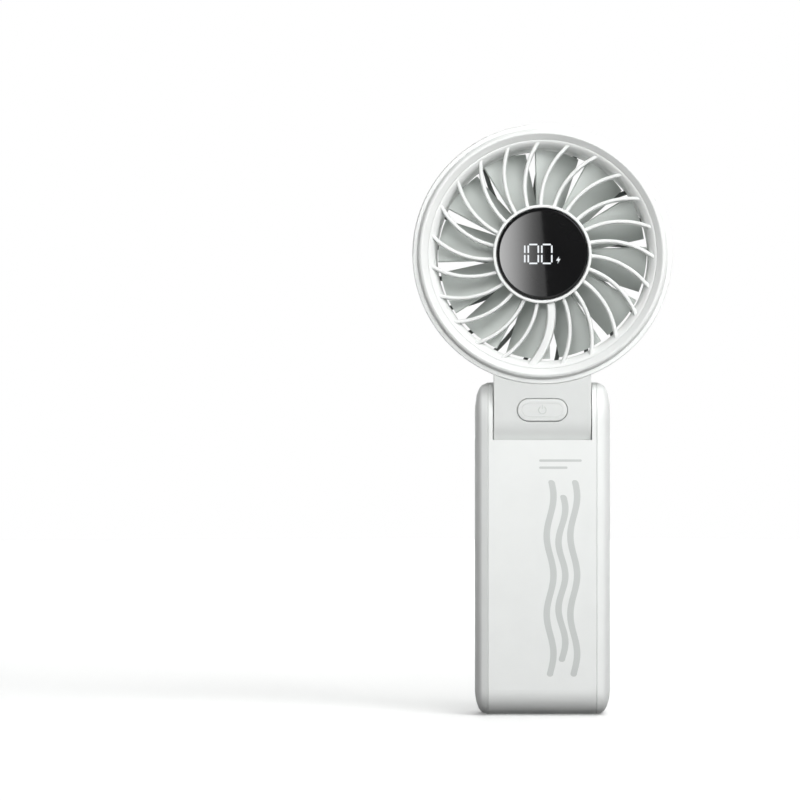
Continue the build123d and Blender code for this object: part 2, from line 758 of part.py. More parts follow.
with BuildPart() as rear_grille:
    rib_face = head_rear - rear_rib_set_back
    ring(grille_flange_front, rear_plate_front, grille_flange_radius, duct_radius)
    ring(rear_plate_front, rib_face, rear_mouth_radius - part_gap, duct_radius)
    for place in range(rear_rib_count):
        reach = (rear_hub_radius - rear_rib_root, duct_radius + rear_rib_root)
        angle = first_rib_angle + 360 / rear_rib_count * place
        rib = rib_sketch(front_plane(rib_face), reach, angle, rear_rib_sweep, rear_rib_bulge, rear_rib_width)
        extrude(rib, amount=rear_rib_depth)
    ring(rib_face - rear_hub_depth, head_rear, rear_hub_radius, bearing_tube_radius)
save(rear_grille, "rear_grille")

# ---------------------------------------------------------------- display
digit_half = (digit_width - digit_stroke) / 2
digit_arm = (digit_height - digit_stroke) / 4
segment_places = {
    "a": (0, 2, 0), "b": (1, 1, 90), "c": (1, -1, 90), "d": (0, -2, 0), "e": (-1, -1, 90), "f": (-1, 1, 90)
}
shown_digits = ("bc", "abcdef", "abcdef")
bolt_outline = [(0.25, 1.25), (-0.75, -0.25), (-0.05, -0.25), (-0.3, -1.25), (0.75, 0.35), (0.05, 0.35)]


def segment_bar(across, along, turned):
    """One bar of a digit, in the current sketch."""
    span = 2 * digit_arm if turned else 2 * digit_half
    trim = upright_gap if turned else digit_stroke + segment_gap
    with Locations(Location((across, along, 0), (0, 0, turned))):
        Rectangle(span - trim, digit_stroke)


with BuildPart() as display_digits:
    with BuildSketch(front_plane(display_front + segment_depth)) as bars:
        for place, segments in enumerate(shown_digits):
            digit_x = digits_centre_x + (place - 1) * digit_pitch
            for name in segments:
                side, level, turned = segment_places[name]
                segment_bar(digit_x + side * digit_half, digits_centre_z + level * digit_arm, turned)
        with Locations(bolt_place):
            with BuildLine():
                Polyline(*[(x + bolt_place[0], y + bolt_place[1]) for x, y in bolt_outline], close=True)
            make_face()
    extrude(bars.sketch, amount=segment_depth)
save(display_digits, "display_digits")

with BuildPart() as display_lens:
    ring(display_front, display_front + display_thickness, display_radius)
    add(display_digits.part, mode=Mode.SUBTRACT)
save(display_lens, "display_lens")

display_board_back = hub_cup_back - hub_cup_floor - board_standoff
display_board_front = display_board_back - display_board_thickness
with BuildPart() as display_board:
    ring(display_board_front, display_board_back, display_radius - board_standoff)
save(display_board, "display_board")

with BuildPart() as display_module:
    module_depth = display_board_front - display_front - display_thickness
    module_y = display_board_front - module_depth / 2
    module_half_width = bolt_place[0] + module_margin - digits_centre_x + digit_pitch
    module_size = (module_half_width * 2, module_depth, digit_height + 2 * module_margin)
    block((0, module_y, head_centre_z), module_size)
save(display_module, "display_module")

# ---------------------------------------------------------------- motor
stator_front = motor_front + bell_wall + stator_set_back
stator_back = stator_front + stator_length
rear_bearing_back = head_rear - rear_cover

with BuildPart() as bearing_tube:
    ring(stator_front, head_rear - rear_cover, bearing_tube_radius, bearing_radius)
save(bearing_tube, "bearing_tube")

with BuildPart() as motor_bearings:
    for front in (stator_front, rear_bearing_back - bearing_length):
        ring(front, front + bearing_length, bearing_radius, shaft_radius + running_gap)
save(motor_bearings, "motor_bearings")

pole_middle = (stator_core_radius + stator_radius) / 2
coil_width = pole_width + 2 * coil_thickness
coil_depth = stator_length + 2 * coil_overhang

with BuildPart() as motor_stator:
    ring(stator_front, stator_back, stator_core_radius, bearing_tube_radius)
    for place in range(stator_poles):
        tooth = 360 / stator_poles * place
        with BuildSketch(front_plane(stator_back)) as pole:
            with Locations(Location((*polar(pole_middle, tooth), 0), (0, 0, -tooth))):
                Rectangle(pole_width, stator_radius - stator_core_radius + stator_set_back)
            Circle(stator_radius, mode=Mode.INTERSECT)
        extrude(pole.sketch, amount=stator_length)
save(motor_stator, "motor_stator")

with BuildPart() as stator_coils:
    for place in range(stator_poles):
        tooth = 360 / stator_poles * place
        middle = Location((*polar(pole_middle, tooth), 0), (0, 0, -tooth))
        for back, width, length, mode in (
            (stator_back + coil_overhang, coil_width, coil_depth, Mode.ADD),
            (stator_back, pole_width, stator_length, Mode.SUBTRACT),
        ):
            with BuildSketch(front_plane(back)) as coil:
                with Locations(middle):
                    Rectangle(width, coil_length)
            extrude(coil.sketch, amount=length, mode=mode)
save(stator_coils, "stator_coils")

with BuildPart() as motor_board:
    board_back = stator_back + board_set_back + display_board_thickness
    ring(stator_back + board_set_back, board_back, motor_board_radius, bearing_tube_radius)
save(motor_board, "motor_board")

with BuildPart() as rotor_magnet:
    ring(stator_front - air_gap, stator_back + air_gap, bell_inner_radius, stator_radius + air_gap)
save(rotor_magnet, "rotor_magnet")

with BuildPart() as rotor_bell:
    ring(motor_front, stator_back + air_gap, bell_outer_radius, shaft_radius)
    ring(motor_front + bell_wall, stator_back + air_gap, bell_inner_radius, mode=Mode.SUBTRACT)
save(rotor_bell, "rotor_bell")

with BuildPart() as motor_shaft:
    ring(blade_front + hub_wall, rear_bearing_back + clip_thickness + 2 * air_gap, shaft_radius)
save(motor_shaft, "motor_shaft")

with BuildPart() as shaft_clip:
    clip_front = rear_bearing_back + air_gap
    ring(clip_front, clip_front + clip_thickness, 2 * shaft_radius, shaft_radius)
save(shaft_clip, "shaft_clip")

# ---------------------------------------------------------------- impeller
def blade_section(radius, spread_angle):
    """Cambered section of a blade, square to the radius, its front edge on the left."""
    half_width = radius * sin(radians(spread_angle / 2))
    start = Vector(-half_width, blade_front + blade_set_back)
    end = Vector(half_width, blade_rear)
    along = (end - start).normalized()
    crown = (start + end) * 0.5 + Vector(along.Y, -along.X) * blade_camber
    plane = Plane(origin=(0, 0, head_centre_z + radius), x_dir=(1, 0, 0), z_dir=(0, 0, 1))
    with BuildSketch(plane) as outline:
        with BuildLine():
            ThreePointArc(start, crown, end)
        trace(line_width=blade_thickness)
    return outline.sketch


with BuildPart() as blade:
    root = blade_section(hub_front_radius - hub_wall / 2, blade_root_angle)
    tip = blade_section(blade_tip_radius + blade_thickness, blade_tip_angle)
    loft([root, tip], ruled=True)

with BuildPart() as impeller:
    hub_rear = blade_rear + blade_set_back
    hub_points = [(blade_front, 0), (blade_front, hub_front_radius), (hub_rear, hub_rear_radius)]
    hub_points += [(hub_rear, bell_outer_radius), (motor_front, bell_outer_radius)]
    hub_points += [(motor_front, shaft_radius)]
    hub_points += [(blade_front + hub_wall, shaft_radius), (blade_front + hub_wall, 0)]
    turn(hub_points, [((blade_front, hub_front_radius), hub_edge_radius)])
    for place in range(blade_count):
        add(blade.part.rotate(head_axis, first_blade_angle + 360 / blade_count * place))
    trim_points = [(motor_front - bell_outer_radius, blade_tip_radius), (blade_front, blade_tip_radius)]
    trim_points += [(hub_rear, blade_rear_radius), (bell_outer_radius, blade_rear_radius)]
    trim_points += [(bell_outer_radius, head_radius), (motor_front - bell_outer_radius, head_radius)]
    turn(trim_points, mode=Mode.SUBTRACT)
save(impeller, "impeller")
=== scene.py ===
"""Visual model of a folding handheld electric fan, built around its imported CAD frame.

Lengths are in metres. +Z runs up the handle to the head, -Y faces the user, and +X is to the right
seen from the front. Sizes are written in millimetres times MM.
"""
import json
import logging
from dataclasses import dataclass
from enum import Enum
from math import atan2, cos, pi, radians, sin
from typing import Callable, Iterable, Optional, Sequence

import bmesh
import bpy
from mathutils import Matrix, Vector


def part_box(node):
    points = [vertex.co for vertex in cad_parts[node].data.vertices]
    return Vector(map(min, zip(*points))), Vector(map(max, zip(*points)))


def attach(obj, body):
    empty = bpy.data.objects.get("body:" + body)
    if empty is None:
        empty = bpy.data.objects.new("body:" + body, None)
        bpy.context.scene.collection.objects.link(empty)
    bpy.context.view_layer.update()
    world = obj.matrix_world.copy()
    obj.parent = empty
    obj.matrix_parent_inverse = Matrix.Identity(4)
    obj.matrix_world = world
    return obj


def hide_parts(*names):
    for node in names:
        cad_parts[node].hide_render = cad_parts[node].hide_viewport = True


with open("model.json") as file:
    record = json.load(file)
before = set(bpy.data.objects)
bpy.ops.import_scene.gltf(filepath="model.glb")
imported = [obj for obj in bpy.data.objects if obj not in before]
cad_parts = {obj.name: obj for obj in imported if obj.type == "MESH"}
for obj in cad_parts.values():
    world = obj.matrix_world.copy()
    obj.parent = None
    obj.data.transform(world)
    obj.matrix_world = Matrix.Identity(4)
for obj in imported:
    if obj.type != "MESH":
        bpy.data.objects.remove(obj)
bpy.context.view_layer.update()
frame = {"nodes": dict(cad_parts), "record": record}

MM = 0.001
log = logging.getLogger("hand_fan")

Colour = tuple[float, float, float]
Place = tuple[float, float, float]


# ------------------------------------------------------------------------------------------ finishes
class Gloss(Enum):
    """Named levels of surface roughness."""

    POLISHED = 0.02
    BRIGHT = 0.22
    SILK = 0.34
    SATIN = 0.42
    DULL = 0.55
    MATT = 0.72


class NodeSheet:
    """The node tree of one material, with short calls that add and join its nodes."""

    def __init__(self, name: str) -> None:
        """Start a material that holds one Principled shader.

        Args:
            name: The material's name.
        """
        self.material = bpy.data.materials.new(name)
        self.material.use_nodes = True
        self.tree = self.material.node_tree
        self.shader = next(n for n in self.tree.nodes if n.type == "BSDF_PRINCIPLED")
        self.place = self.tree.nodes.new("ShaderNodeTexCoord").outputs["Object"]

    def add(self, kind: str, **settings: object) -> bpy.types.Node:
        """Add a node and set its properties.

        Args:
            kind: The node's type.
            settings: Values for the node's own properties.

        Returns:
            The new node.
        """
        node = self.tree.nodes.new(kind)
        for key, value in settings.items():
            setattr(node, key, value)
        return node

    def join(self, start: bpy.types.NodeSocket, end: bpy.types.NodeSocket) -> None:
        """Link one socket to another."""
        self.tree.links.new(start, end)

    def stretched(self, scale: Place) -> bpy.types.NodeSocket:
        """Object coordinates scaled along each axis.

        Args:
            scale: The scale along X, Y and Z.

        Returns:
            The scaled coordinates.
        """
        mapping = self.add("ShaderNodeMapping")
        mapping.inputs["Scale"].default_value = scale
        self.join(self.place, mapping.inputs["Vector"])
        return mapping.outputs["Vector"]

    def noise(self, size: float, detail: float = 3.0,
              place: Optional[bpy.types.NodeSocket] = None) -> bpy.types.NodeSocket:
        """Cloudy noise whose features are about a given size.

        Args:
            size: The size of a feature, in metres.
            detail: How many finer layers are added.
            place: The coordinates to read, or none for the plain object coordinates.

        Returns:
            The noise value.
        """
        cloud = self.add("ShaderNodeTexNoise")
        cloud.inputs["Scale"].default_value = 1.0 / size
        cloud.inputs["Detail"].default_value = detail
        self.join(place or self.place, cloud.inputs["Vector"])
        return cloud.outputs["Fac"]

    def cells(self, size: float, feature: str = "F1") -> bpy.types.NodeSocket:
        """Distance to the nearest of many scattered points.

        Args:
            size: The size of a cell, in metres.
            feature: Which distance is given.

        Returns:
            The distance value.
        """
        cell = self.add("ShaderNodeTexVoronoi", feature=feature)
        cell.inputs["Scale"].default_value = 1.0 / size
        self.join(self.place, cell.inputs["Vector"])
        return cell.outputs["Distance"]

    def spread(self, value: bpy.types.NodeSocket, low: float, high: float) -> bpy.types.NodeSocket:
        """Fit a noise value, which stays near its middle, into a range.

        Args:
            value: The value to fit.
            low: The low end of the range.
            high: The high end of the range.

        Returns:
            The fitted value.
        """
        fit = self.add("ShaderNodeMapRange")
        fit.inputs["From Min"].default_value = 0.3
        fit.inputs["From Max"].default_value = 0.7
        fit.inputs["To Min"].default_value = low
        fit.inputs["To Max"].default_value = high
        self.join(value, fit.inputs["Value"])
        return fit.outputs["Result"]

    def colours(self, value: bpy.types.NodeSocket, stops: Sequence[tuple[float, Colour]]) -> None:
        """Colour the surface by a value.

        Args:
            value: The value that chooses the colour.
            stops: Places along the value, each with its colour.
        """
        ramp = self.add("ShaderNodeValToRGB")
        while len(ramp.color_ramp.elements) < len(stops):
            ramp.color_ramp.elements.new(0.5)
        for element, (place, colour) in zip(ramp.color_ramp.elements, stops):
            element.position = place
            element.color = (*colour, 1.0)
        self.join(value, ramp.inputs["Fac"])
        self.join(ramp.outputs["Color"], self.shader.inputs["Base Color"])

    def relief(self, height: bpy.types.NodeSocket, depth: float, strength: float = 1.0,
               under: Optional[bpy.types.NodeSocket] = None) -> bpy.types.NodeSocket:
        """Raise the surface by a value.

        Args:
            height: The value that gives the height.
            depth: The height of a value of one, in metres.
            strength: How strongly the relief shows.
            under: The normal of a relief underneath, or none.

        Returns:
            The changed normal.
        """
        bump = self.add("ShaderNodeBump")
        bump.inputs["Distance"].default_value = depth
        bump.inputs["Strength"].default_value = strength
        self.join(height, bump.inputs["Height"])
        if under is not None:
            self.join(under, bump.inputs["Normal"])
        self.join(bump.outputs["Normal"], self.shader.inputs["Normal"])
        return bump.outputs["Normal"]

    def roughness(self, value: bpy.types.NodeSocket, middle: float, swing: float) -> None:
        """Vary the roughness about its middle by a value."""
        self.join(self.spread(value, middle - swing, middle + swing), self.shader.inputs["Roughness"])


def shade(colour: Colour, factor: float) -> Colour:
    """A colour made lighter or darker.

    Args:
        colour: The colour to change.
        factor: What each channel is multiplied by.

    Returns:
        The changed colour, held at or under one.
    """
    return tuple(min(1.0, channel * factor) for channel in colour)


@dataclass(frozen=True)
class MouldedPlastic:
    """Injection-moulded plastic with a fine spark grain and faint flow mottling."""

    name: str
    colour: Colour
    gloss: Gloss = Gloss.SATIN
    grain: float = 0.22 * MM
    grain_depth: float = 0.004 * MM
    mottle: float = 0.012
    coat: float = 0.0

    def make(self) -> bpy.types.Material:
        """Build the material.

        Returns:
            The material.
        """
        sheet = NodeSheet(self.name)
        flow = sheet.noise(9.0 * MM, 4.0)
        sheet.colours(sheet.spread(flow, 0.0, 1.0), [
            (0.0, shade(self.colour, 1.0 - self.mottle)), (1.0, shade(self.colour, 1.0 + self.mottle))])
        sheet.roughness(sheet.noise(2.4 * MM, 5.0), self.gloss.value, 0.05)
        wave = sheet.relief(sheet.noise(6.0 * MM, 1.0), 0.006 * MM, 0.5)
        sheet.relief(sheet.noise(self.grain, 2.0), self.grain_depth, 0.8, wave)
        sheet.shader.inputs["Coat Weight"].default_value = self.coat
        sheet.shader.inputs["Coat Roughness"].default_value = Gloss.BRIGHT.value
        sheet.shader.inputs["Specular IOR Level"].default_value = 0.5
        return sheet.material


@dataclass(frozen=True)
class SmokedLens:
    """Deep black polished lens over a display, with a coating that cuts its reflections."""

    name: str
    colour: Colour
    reflection: float = 0.25

    def make(self) -> bpy.types.Material:
        """Build the material.

        Returns:
            The material.
        """
        sheet = NodeSheet(self.name)
        sheet.colours(sheet.noise(14.0 * MM, 2.0), [(0.3, shade(self.colour, 0.8)), (0.7, self.colour)])
        sheet.roughness(sheet.noise(3.0 * MM, 6.0), Gloss.POLISHED.value, 0.006)
        sheet.relief(sheet.noise(8.0 * MM, 1.0), 0.0006 * MM, 0.3)
        sheet.shader.inputs["Specular IOR Level"].default_value = self.reflection
        return sheet.material


@dataclass(frozen=True)
class LitSegments:
    """Light guide of a display digit, glowing evenly with a fine diffusing grain."""

    name: str
    colour: Colour
    strength: float = 0.9

    def make(self) -> bpy.types.Material:
        """Build the material.

        Returns:
            The material.
        """
        sheet = NodeSheet(self.name)
        tones = [(0.3, shade(self.colour, 0.05)), (0.7, shade(self.colour, 0.08))]
        sheet.colours(sheet.noise(0.3 * MM), tones)
        sheet.roughness(sheet.noise(0.5 * MM), Gloss.SILK.value, 0.04)
        sheet.shader.inputs["Emission Color"].default_value = (*self.colour, 1.0)
        sheet.shader.inputs["Emission Strength"].default_value = self.strength
        return sheet.material


class Lay(Enum):
    """The way the tool marks of a metal run, as a scale along X, Y and Z."""

    ALONG_X = (0.05, 1.0, 1.0)
    ALONG_Y = (1.0, 0.05, 1.0)
    EVEN = (1.0, 1.0, 1.0)


@dataclass(frozen=True)
class WorkedMetal:
    """Turned, stamped or drawn metal with fine tool marks."""

    name: str
    colour: Colour
    gloss: Gloss = Gloss.BRIGHT
    lay: Lay = Lay.EVEN
    mark: float = 0.12 * MM

    def make(self) -> bpy.types.Material:
        """Build the material.

        Returns:
            The material.
        """
        sheet = NodeSheet(self.name)
        marks = sheet.noise(self.mark, 3.0, sheet.stretched(self.lay.value))
        sheet.colours(sheet.noise(4.0 * MM, 4.0), [
            (0.3, shade(self.colour, 0.88)), (0.7, shade(self.colour, 1.06))])
        sheet.roughness(marks, self.gloss.value, 0.08)
        sheet.relief(marks, 0.002 * MM, 0.6)
        sheet.shader.inputs["Metallic"].default_value = 1.0
        return sheet.material


@dataclass(frozen=True)
class SolderMask:
    """Circuit board laminate: copper tracks show as raised lines under the mask."""

    name: str
    colour: Colour

    def make(self) -> bpy.types.Material:
        """Build the material.

        Returns:
            The material.
        """
        sheet = NodeSheet(self.name)
        tracks = sheet.add("ShaderNodeTexBrick")
        tracks.inputs["Scale"].default_value = 1.0
        tracks.inputs["Brick Width"].default_value = 3.2 * MM
        tracks.inputs["Row Height"].default_value = 0.9 * MM
        tracks.inputs["Mortar Size"].default_value = 0.14 * MM
        turn = sheet.add("ShaderNodeMapping")
        turn.inputs["Rotation"].default_value = (pi / 2, 0.0, 0.0)
        sheet.join(sheet.place, turn.inputs["Vector"])
        sheet.join(turn.outputs["Vector"], tracks.inputs["Vector"])
        sheet.colours(tracks.outputs["Fac"], [(0.0, self.colour), (1.0, shade(self.colour, 1.7))])
        sheet.roughness(sheet.noise(1.0 * MM), Gloss.BRIGHT.value, 0.05)
        sheet.relief(tracks.outputs["Fac"], 0.03 * MM, 0.6)
        return sheet.material


@dataclass(frozen=True)
class WoundWire:
    """Enamelled wire laid side by side, with painted shade in the grooves between the turns."""

    name: str
    colour: Colour
    wire: float = 0.3 * MM

    def make(self) -> bpy.types.Material:
        """Build the material.

        Returns:
            The material.
        """
        sheet = NodeSheet(self.name)
        turns = sheet.add("ShaderNodeTexWave", wave_type="BANDS", bands_direction="Y")
        turns.inputs["Scale"].default_value = 1.0 / (self.wire * pi)
        turns.inputs["Distortion"].default_value = 0.4
        sheet.join(sheet.place, turns.inputs["Vector"])
        # The colour runs from half brightness in the groove between two turns to full brightness on each
        # crest: painted shade.
        sheet.colours(turns.outputs["Fac"], [(0.0, shade(self.colour, 0.5)), (1.0, self.colour)])
        sheet.roughness(sheet.noise(0.6 * MM), Gloss.SILK.value, 0.05)
        sheet.relief(turns.outputs["Fac"], 0.12 * MM, 0.8)
        sheet.shader.inputs["Metallic"].default_value = 0.9
        return sheet.material


@dataclass(frozen=True)
class CrinkledFoil:
    """Laminated foil of a pouch cell, lightly wrinkled."""

    name: str
    colour: Colour

    def make(self) -> bpy.types.Material:
        """Build the material.

        Returns:
            The material.
        """
        sheet = NodeSheet(self.name)
        sheet.colours(sheet.noise(7.0 * MM, 5.0), [
            (0.3, shade(self.colour, 0.85)), (0.7, shade(self.colour, 1.05))])
        sheet.roughness(sheet.noise(1.5 * MM), Gloss.SILK.value, 0.08)
        creases = sheet.relief(sheet.cells(5.0 * MM, "DISTANCE_TO_EDGE"), 0.12 * MM, 0.5)
        sheet.relief(sheet.noise(1.0 * MM, 4.0), 0.05 * MM, 0.5, creases)
        sheet.shader.inputs["Metallic"].default_value = 0.8
        return sheet.material


@dataclass(frozen=True)
class OpenFoam:
    """Soft rubber or foam with small open cells."""

    name: str
    colour: Colour
    cell: float = 0.5 * MM
    depth: float = 0.15 * MM

    def make(self) -> bpy.types.Material:
        """Build the material.

        Returns:
            The material.
        """
        sheet = NodeSheet(self.name)
        sheet.colours(sheet.noise(2.0 * MM, 5.0), [
            (0.3, shade(self.colour, 0.94)), (0.7, shade(self.colour, 1.04))])
        sheet.roughness(sheet.noise(1.2 * MM), Gloss.MATT.value, 0.06)
        sheet.relief(sheet.cells(self.cell), self.depth, 0.6)
        return sheet.material


@dataclass(frozen=True)
class StudioPaper:
    """Pale seamless paper for the floor and the backdrop."""

    name: str
    colour: Colour
    glow: float = 0.0

    def make(self) -> bpy.types.Material:
        """Build the material.

        Returns:
            The material.
        """
        sheet = NodeSheet(self.name)
        sheet.colours(sheet.noise(60.0 * MM, 3.0), [
            (0.3, shade(self.colour, 0.995)), (0.7, self.colour)])
        sheet.roughness(sheet.noise(20.0 * MM), Gloss.MATT.value, 0.04)
        sheet.shader.inputs["Specular IOR Level"].default_value = 0.1
        sheet.shader.inputs["Emission Color"].default_value = (1.0, 1.0, 1.0, 1.0)
        sheet.shader.inputs["Emission Strength"].default_value = self.glow
        return sheet.material


@dataclass(frozen=True)
class FlagCloth:
    """Black studio cloth that takes light away on its front and lets it through from behind."""

    name: str
    colour: Colour

    def make(self) -> bpy.types.Material:
        """Build the material.

        Returns:
            The material.
        """
        sheet = NodeSheet(self.name)
        sheet.shader.inputs["Base Color"].default_value = (*self.colour, 1.0)
        sheet.shader.inputs["Roughness"].default_value = Gloss.MATT.value
        clear = sheet.add("ShaderNodeBsdfTransparent")
        behind = sheet.add("ShaderNodeNewGeometry").outputs["Backfacing"]
        either = sheet.add("ShaderNodeMixShader")
        output = next(n for n in sheet.tree.nodes if n.type == "OUTPUT_MATERIAL")
        sheet.join(behind, either.inputs["Fac"])
        sheet.join(sheet.shader.outputs["BSDF"], either.inputs[1])
        sheet.join(clear.outputs["BSDF"], either.inputs[2])
        sheet.join(either.outputs["Shader"], output.inputs["Surface"])
        return sheet.material


FINISHES: dict[str, object] = {
    "white_shell": MouldedPlastic("shell_white", (0.80, 0.815, 0.805)),
    # Neck: a darker copy of the shell's white. The extra darkness is painted shade for the neck under the
    # head's rim.
    "neck_white": MouldedPlastic("neck_white", (0.66, 0.675, 0.665)),
    "white_trim": MouldedPlastic("trim_white", (0.765, 0.777, 0.767), Gloss.SILK, grain_depth=0.002 * MM),
    "button_white": MouldedPlastic("button_white", (0.69, 0.705, 0.695), Gloss.SILK, grain_depth=0.002 * MM),
    "impeller_grey": MouldedPlastic("blade_grey", (0.575, 0.605, 0.585), Gloss.DULL, mottle=0.02),
    "duct_white": MouldedPlastic("duct_white", (0.66, 0.68, 0.66), Gloss.DULL),
    "display_black": SmokedLens("lens_black", (0.007, 0.007, 0.0074)),
    "digit_light": LitSegments("digit_glow", (0.93, 0.97, 1.0)),
    "module_black": MouldedPlastic("module_black", (0.03, 0.03, 0.032), Gloss.DULL, mottle=0.06),
    "circuit_green": SolderMask("board_green", (0.015, 0.12, 0.05)),
    "steel": WorkedMetal("zinc_steel", (0.60, 0.61, 0.62), Gloss.BRIGHT, Lay.EVEN),
    "bearing_steel": WorkedMetal("ground_steel", (0.55, 0.56, 0.58), Gloss.BRIGHT, Lay.ALONG_Y),
    "core_steel": WorkedMetal("stacked_steel", (0.33, 0.33, 0.35), Gloss.SATIN, Lay.ALONG_X),
    "magnet_black": MouldedPlastic("magnet_black", (0.05, 0.05, 0.055), Gloss.DULL, mottle=0.1),
    "brass": WorkedMetal("turned_brass", (0.72, 0.53, 0.24), Gloss.BRIGHT, Lay.EVEN),
    "copper": WoundWire("coil_copper", (0.72, 0.33, 0.16)),
    "cell_foil": CrinkledFoil("pouch_foil", (0.66, 0.68, 0.70)),
    "foam_grey": OpenFoam("pad_foam", (0.10, 0.10, 0.105)),
    "plug_white": OpenFoam("plug_rubber", (0.72, 0.735, 0.72), 0.3 * MM, 0.01 * MM),
    # Rear grille ribs: this dark grey is painted shade. It stands in for the shade the ribs lie in, seen
    # through the gaps between the blades.
    "rib_grey": MouldedPlastic("rib_grey", (0.16, 0.17, 0.165), Gloss.DULL, mottle=0.03),
    "print_grey": MouldedPlastic("print_ink", (0.57, 0.59, 0.58), Gloss.DULL, grain=0.12 * MM, mottle=0.02),
}


class FinishRack:
    """Makes each finish once and hands it to the pieces that wear it."""

    def __init__(self, finishes: dict[str, object]) -> None:
        """Hold the finishes by the slot that they belong to."""
        self.finishes = finishes
        self.made: dict[str, bpy.types.Material] = {}

    def get(self, slot: str) -> bpy.types.Material:
        """The material of a slot, made at its first use.

        Args:
            slot: The record's material slot.

        Returns:
            The material.
        """
        if slot not in self.made:
            self.made[slot] = self.finishes[slot].make()
        return self.made[slot]

    def dress(self, piece: bpy.types.Object, slot: str) -> None:
        """Give a piece its finish in every material slot.

        Args:
            piece: The object to dress.
            slot: The record's material slot.
        """
        if not piece.data.materials:
            piece.data.materials.append(None)
        for place in range(len(piece.data.materials)):
            piece.data.materials[place] = self.get(slot)


# ------------------------------------------------------------------------------------------ the bench
def put_down() -> None:
    """Leave edit mode and deselect everything."""
    active = bpy.context.view_layer.objects.active
    if active is not None and active.mode != "OBJECT":
        bpy.ops.object.mode_set(mode="OBJECT")
    bpy.ops.object.select_all(action="DESELECT")


def take(piece: bpy.types.Object) -> None:
    """Select one object alone and make it active.

    Args:
        piece: The object.
    """
    put_down()
    piece.select_set(True)
    bpy.context.view_layer.objects.active = piece


def copy_of(piece: bpy.types.Object, name: str, place: Matrix) -> bpy.types.Object:
    """Copy a piece with its own mesh and set the copy in its place.

    Args:
        piece: The piece to copy.
        name: The copy's name.
        place: The move from the piece to its copy.

    Returns:
        The copy, with its place in its mesh.
    """
    take(piece)
    bpy.ops.object.duplicate(linked=False)
    copy = bpy.context.view_layer.objects.active
    copy.name = name
    copy.matrix_world = place
    bpy.ops.object.transform_apply(location=True, rotation=True, scale=True)
    return copy


def join(pieces: Sequence[bpy.types.Object], name: str) -> bpy.types.Object:
    """Join several pieces into the first of them.

    Args:
        pieces: The pieces to join.
        name: The name of the joined piece.

    Returns:
        The joined piece.
    """
    take(pieces[0])
    for piece in pieces:
        piece.select_set(True)
    bpy.ops.object.join()
    pieces[0].name = name
    return pieces[0]


def turned_about_head(angle: float, centre_z: float) -> Matrix:
    """The move that turns a piece clockwise about the head's axis, as seen from the front.

    Args:
        angle: The turn, in radians.
        centre_z: The height of the axis.

    Returns:
        The move.
    """
    centre = Matrix.Translation((0.0, 0.0, centre_z))
    return centre @ Matrix.Rotation(angle, 4, "Y") @ centre.inverted()


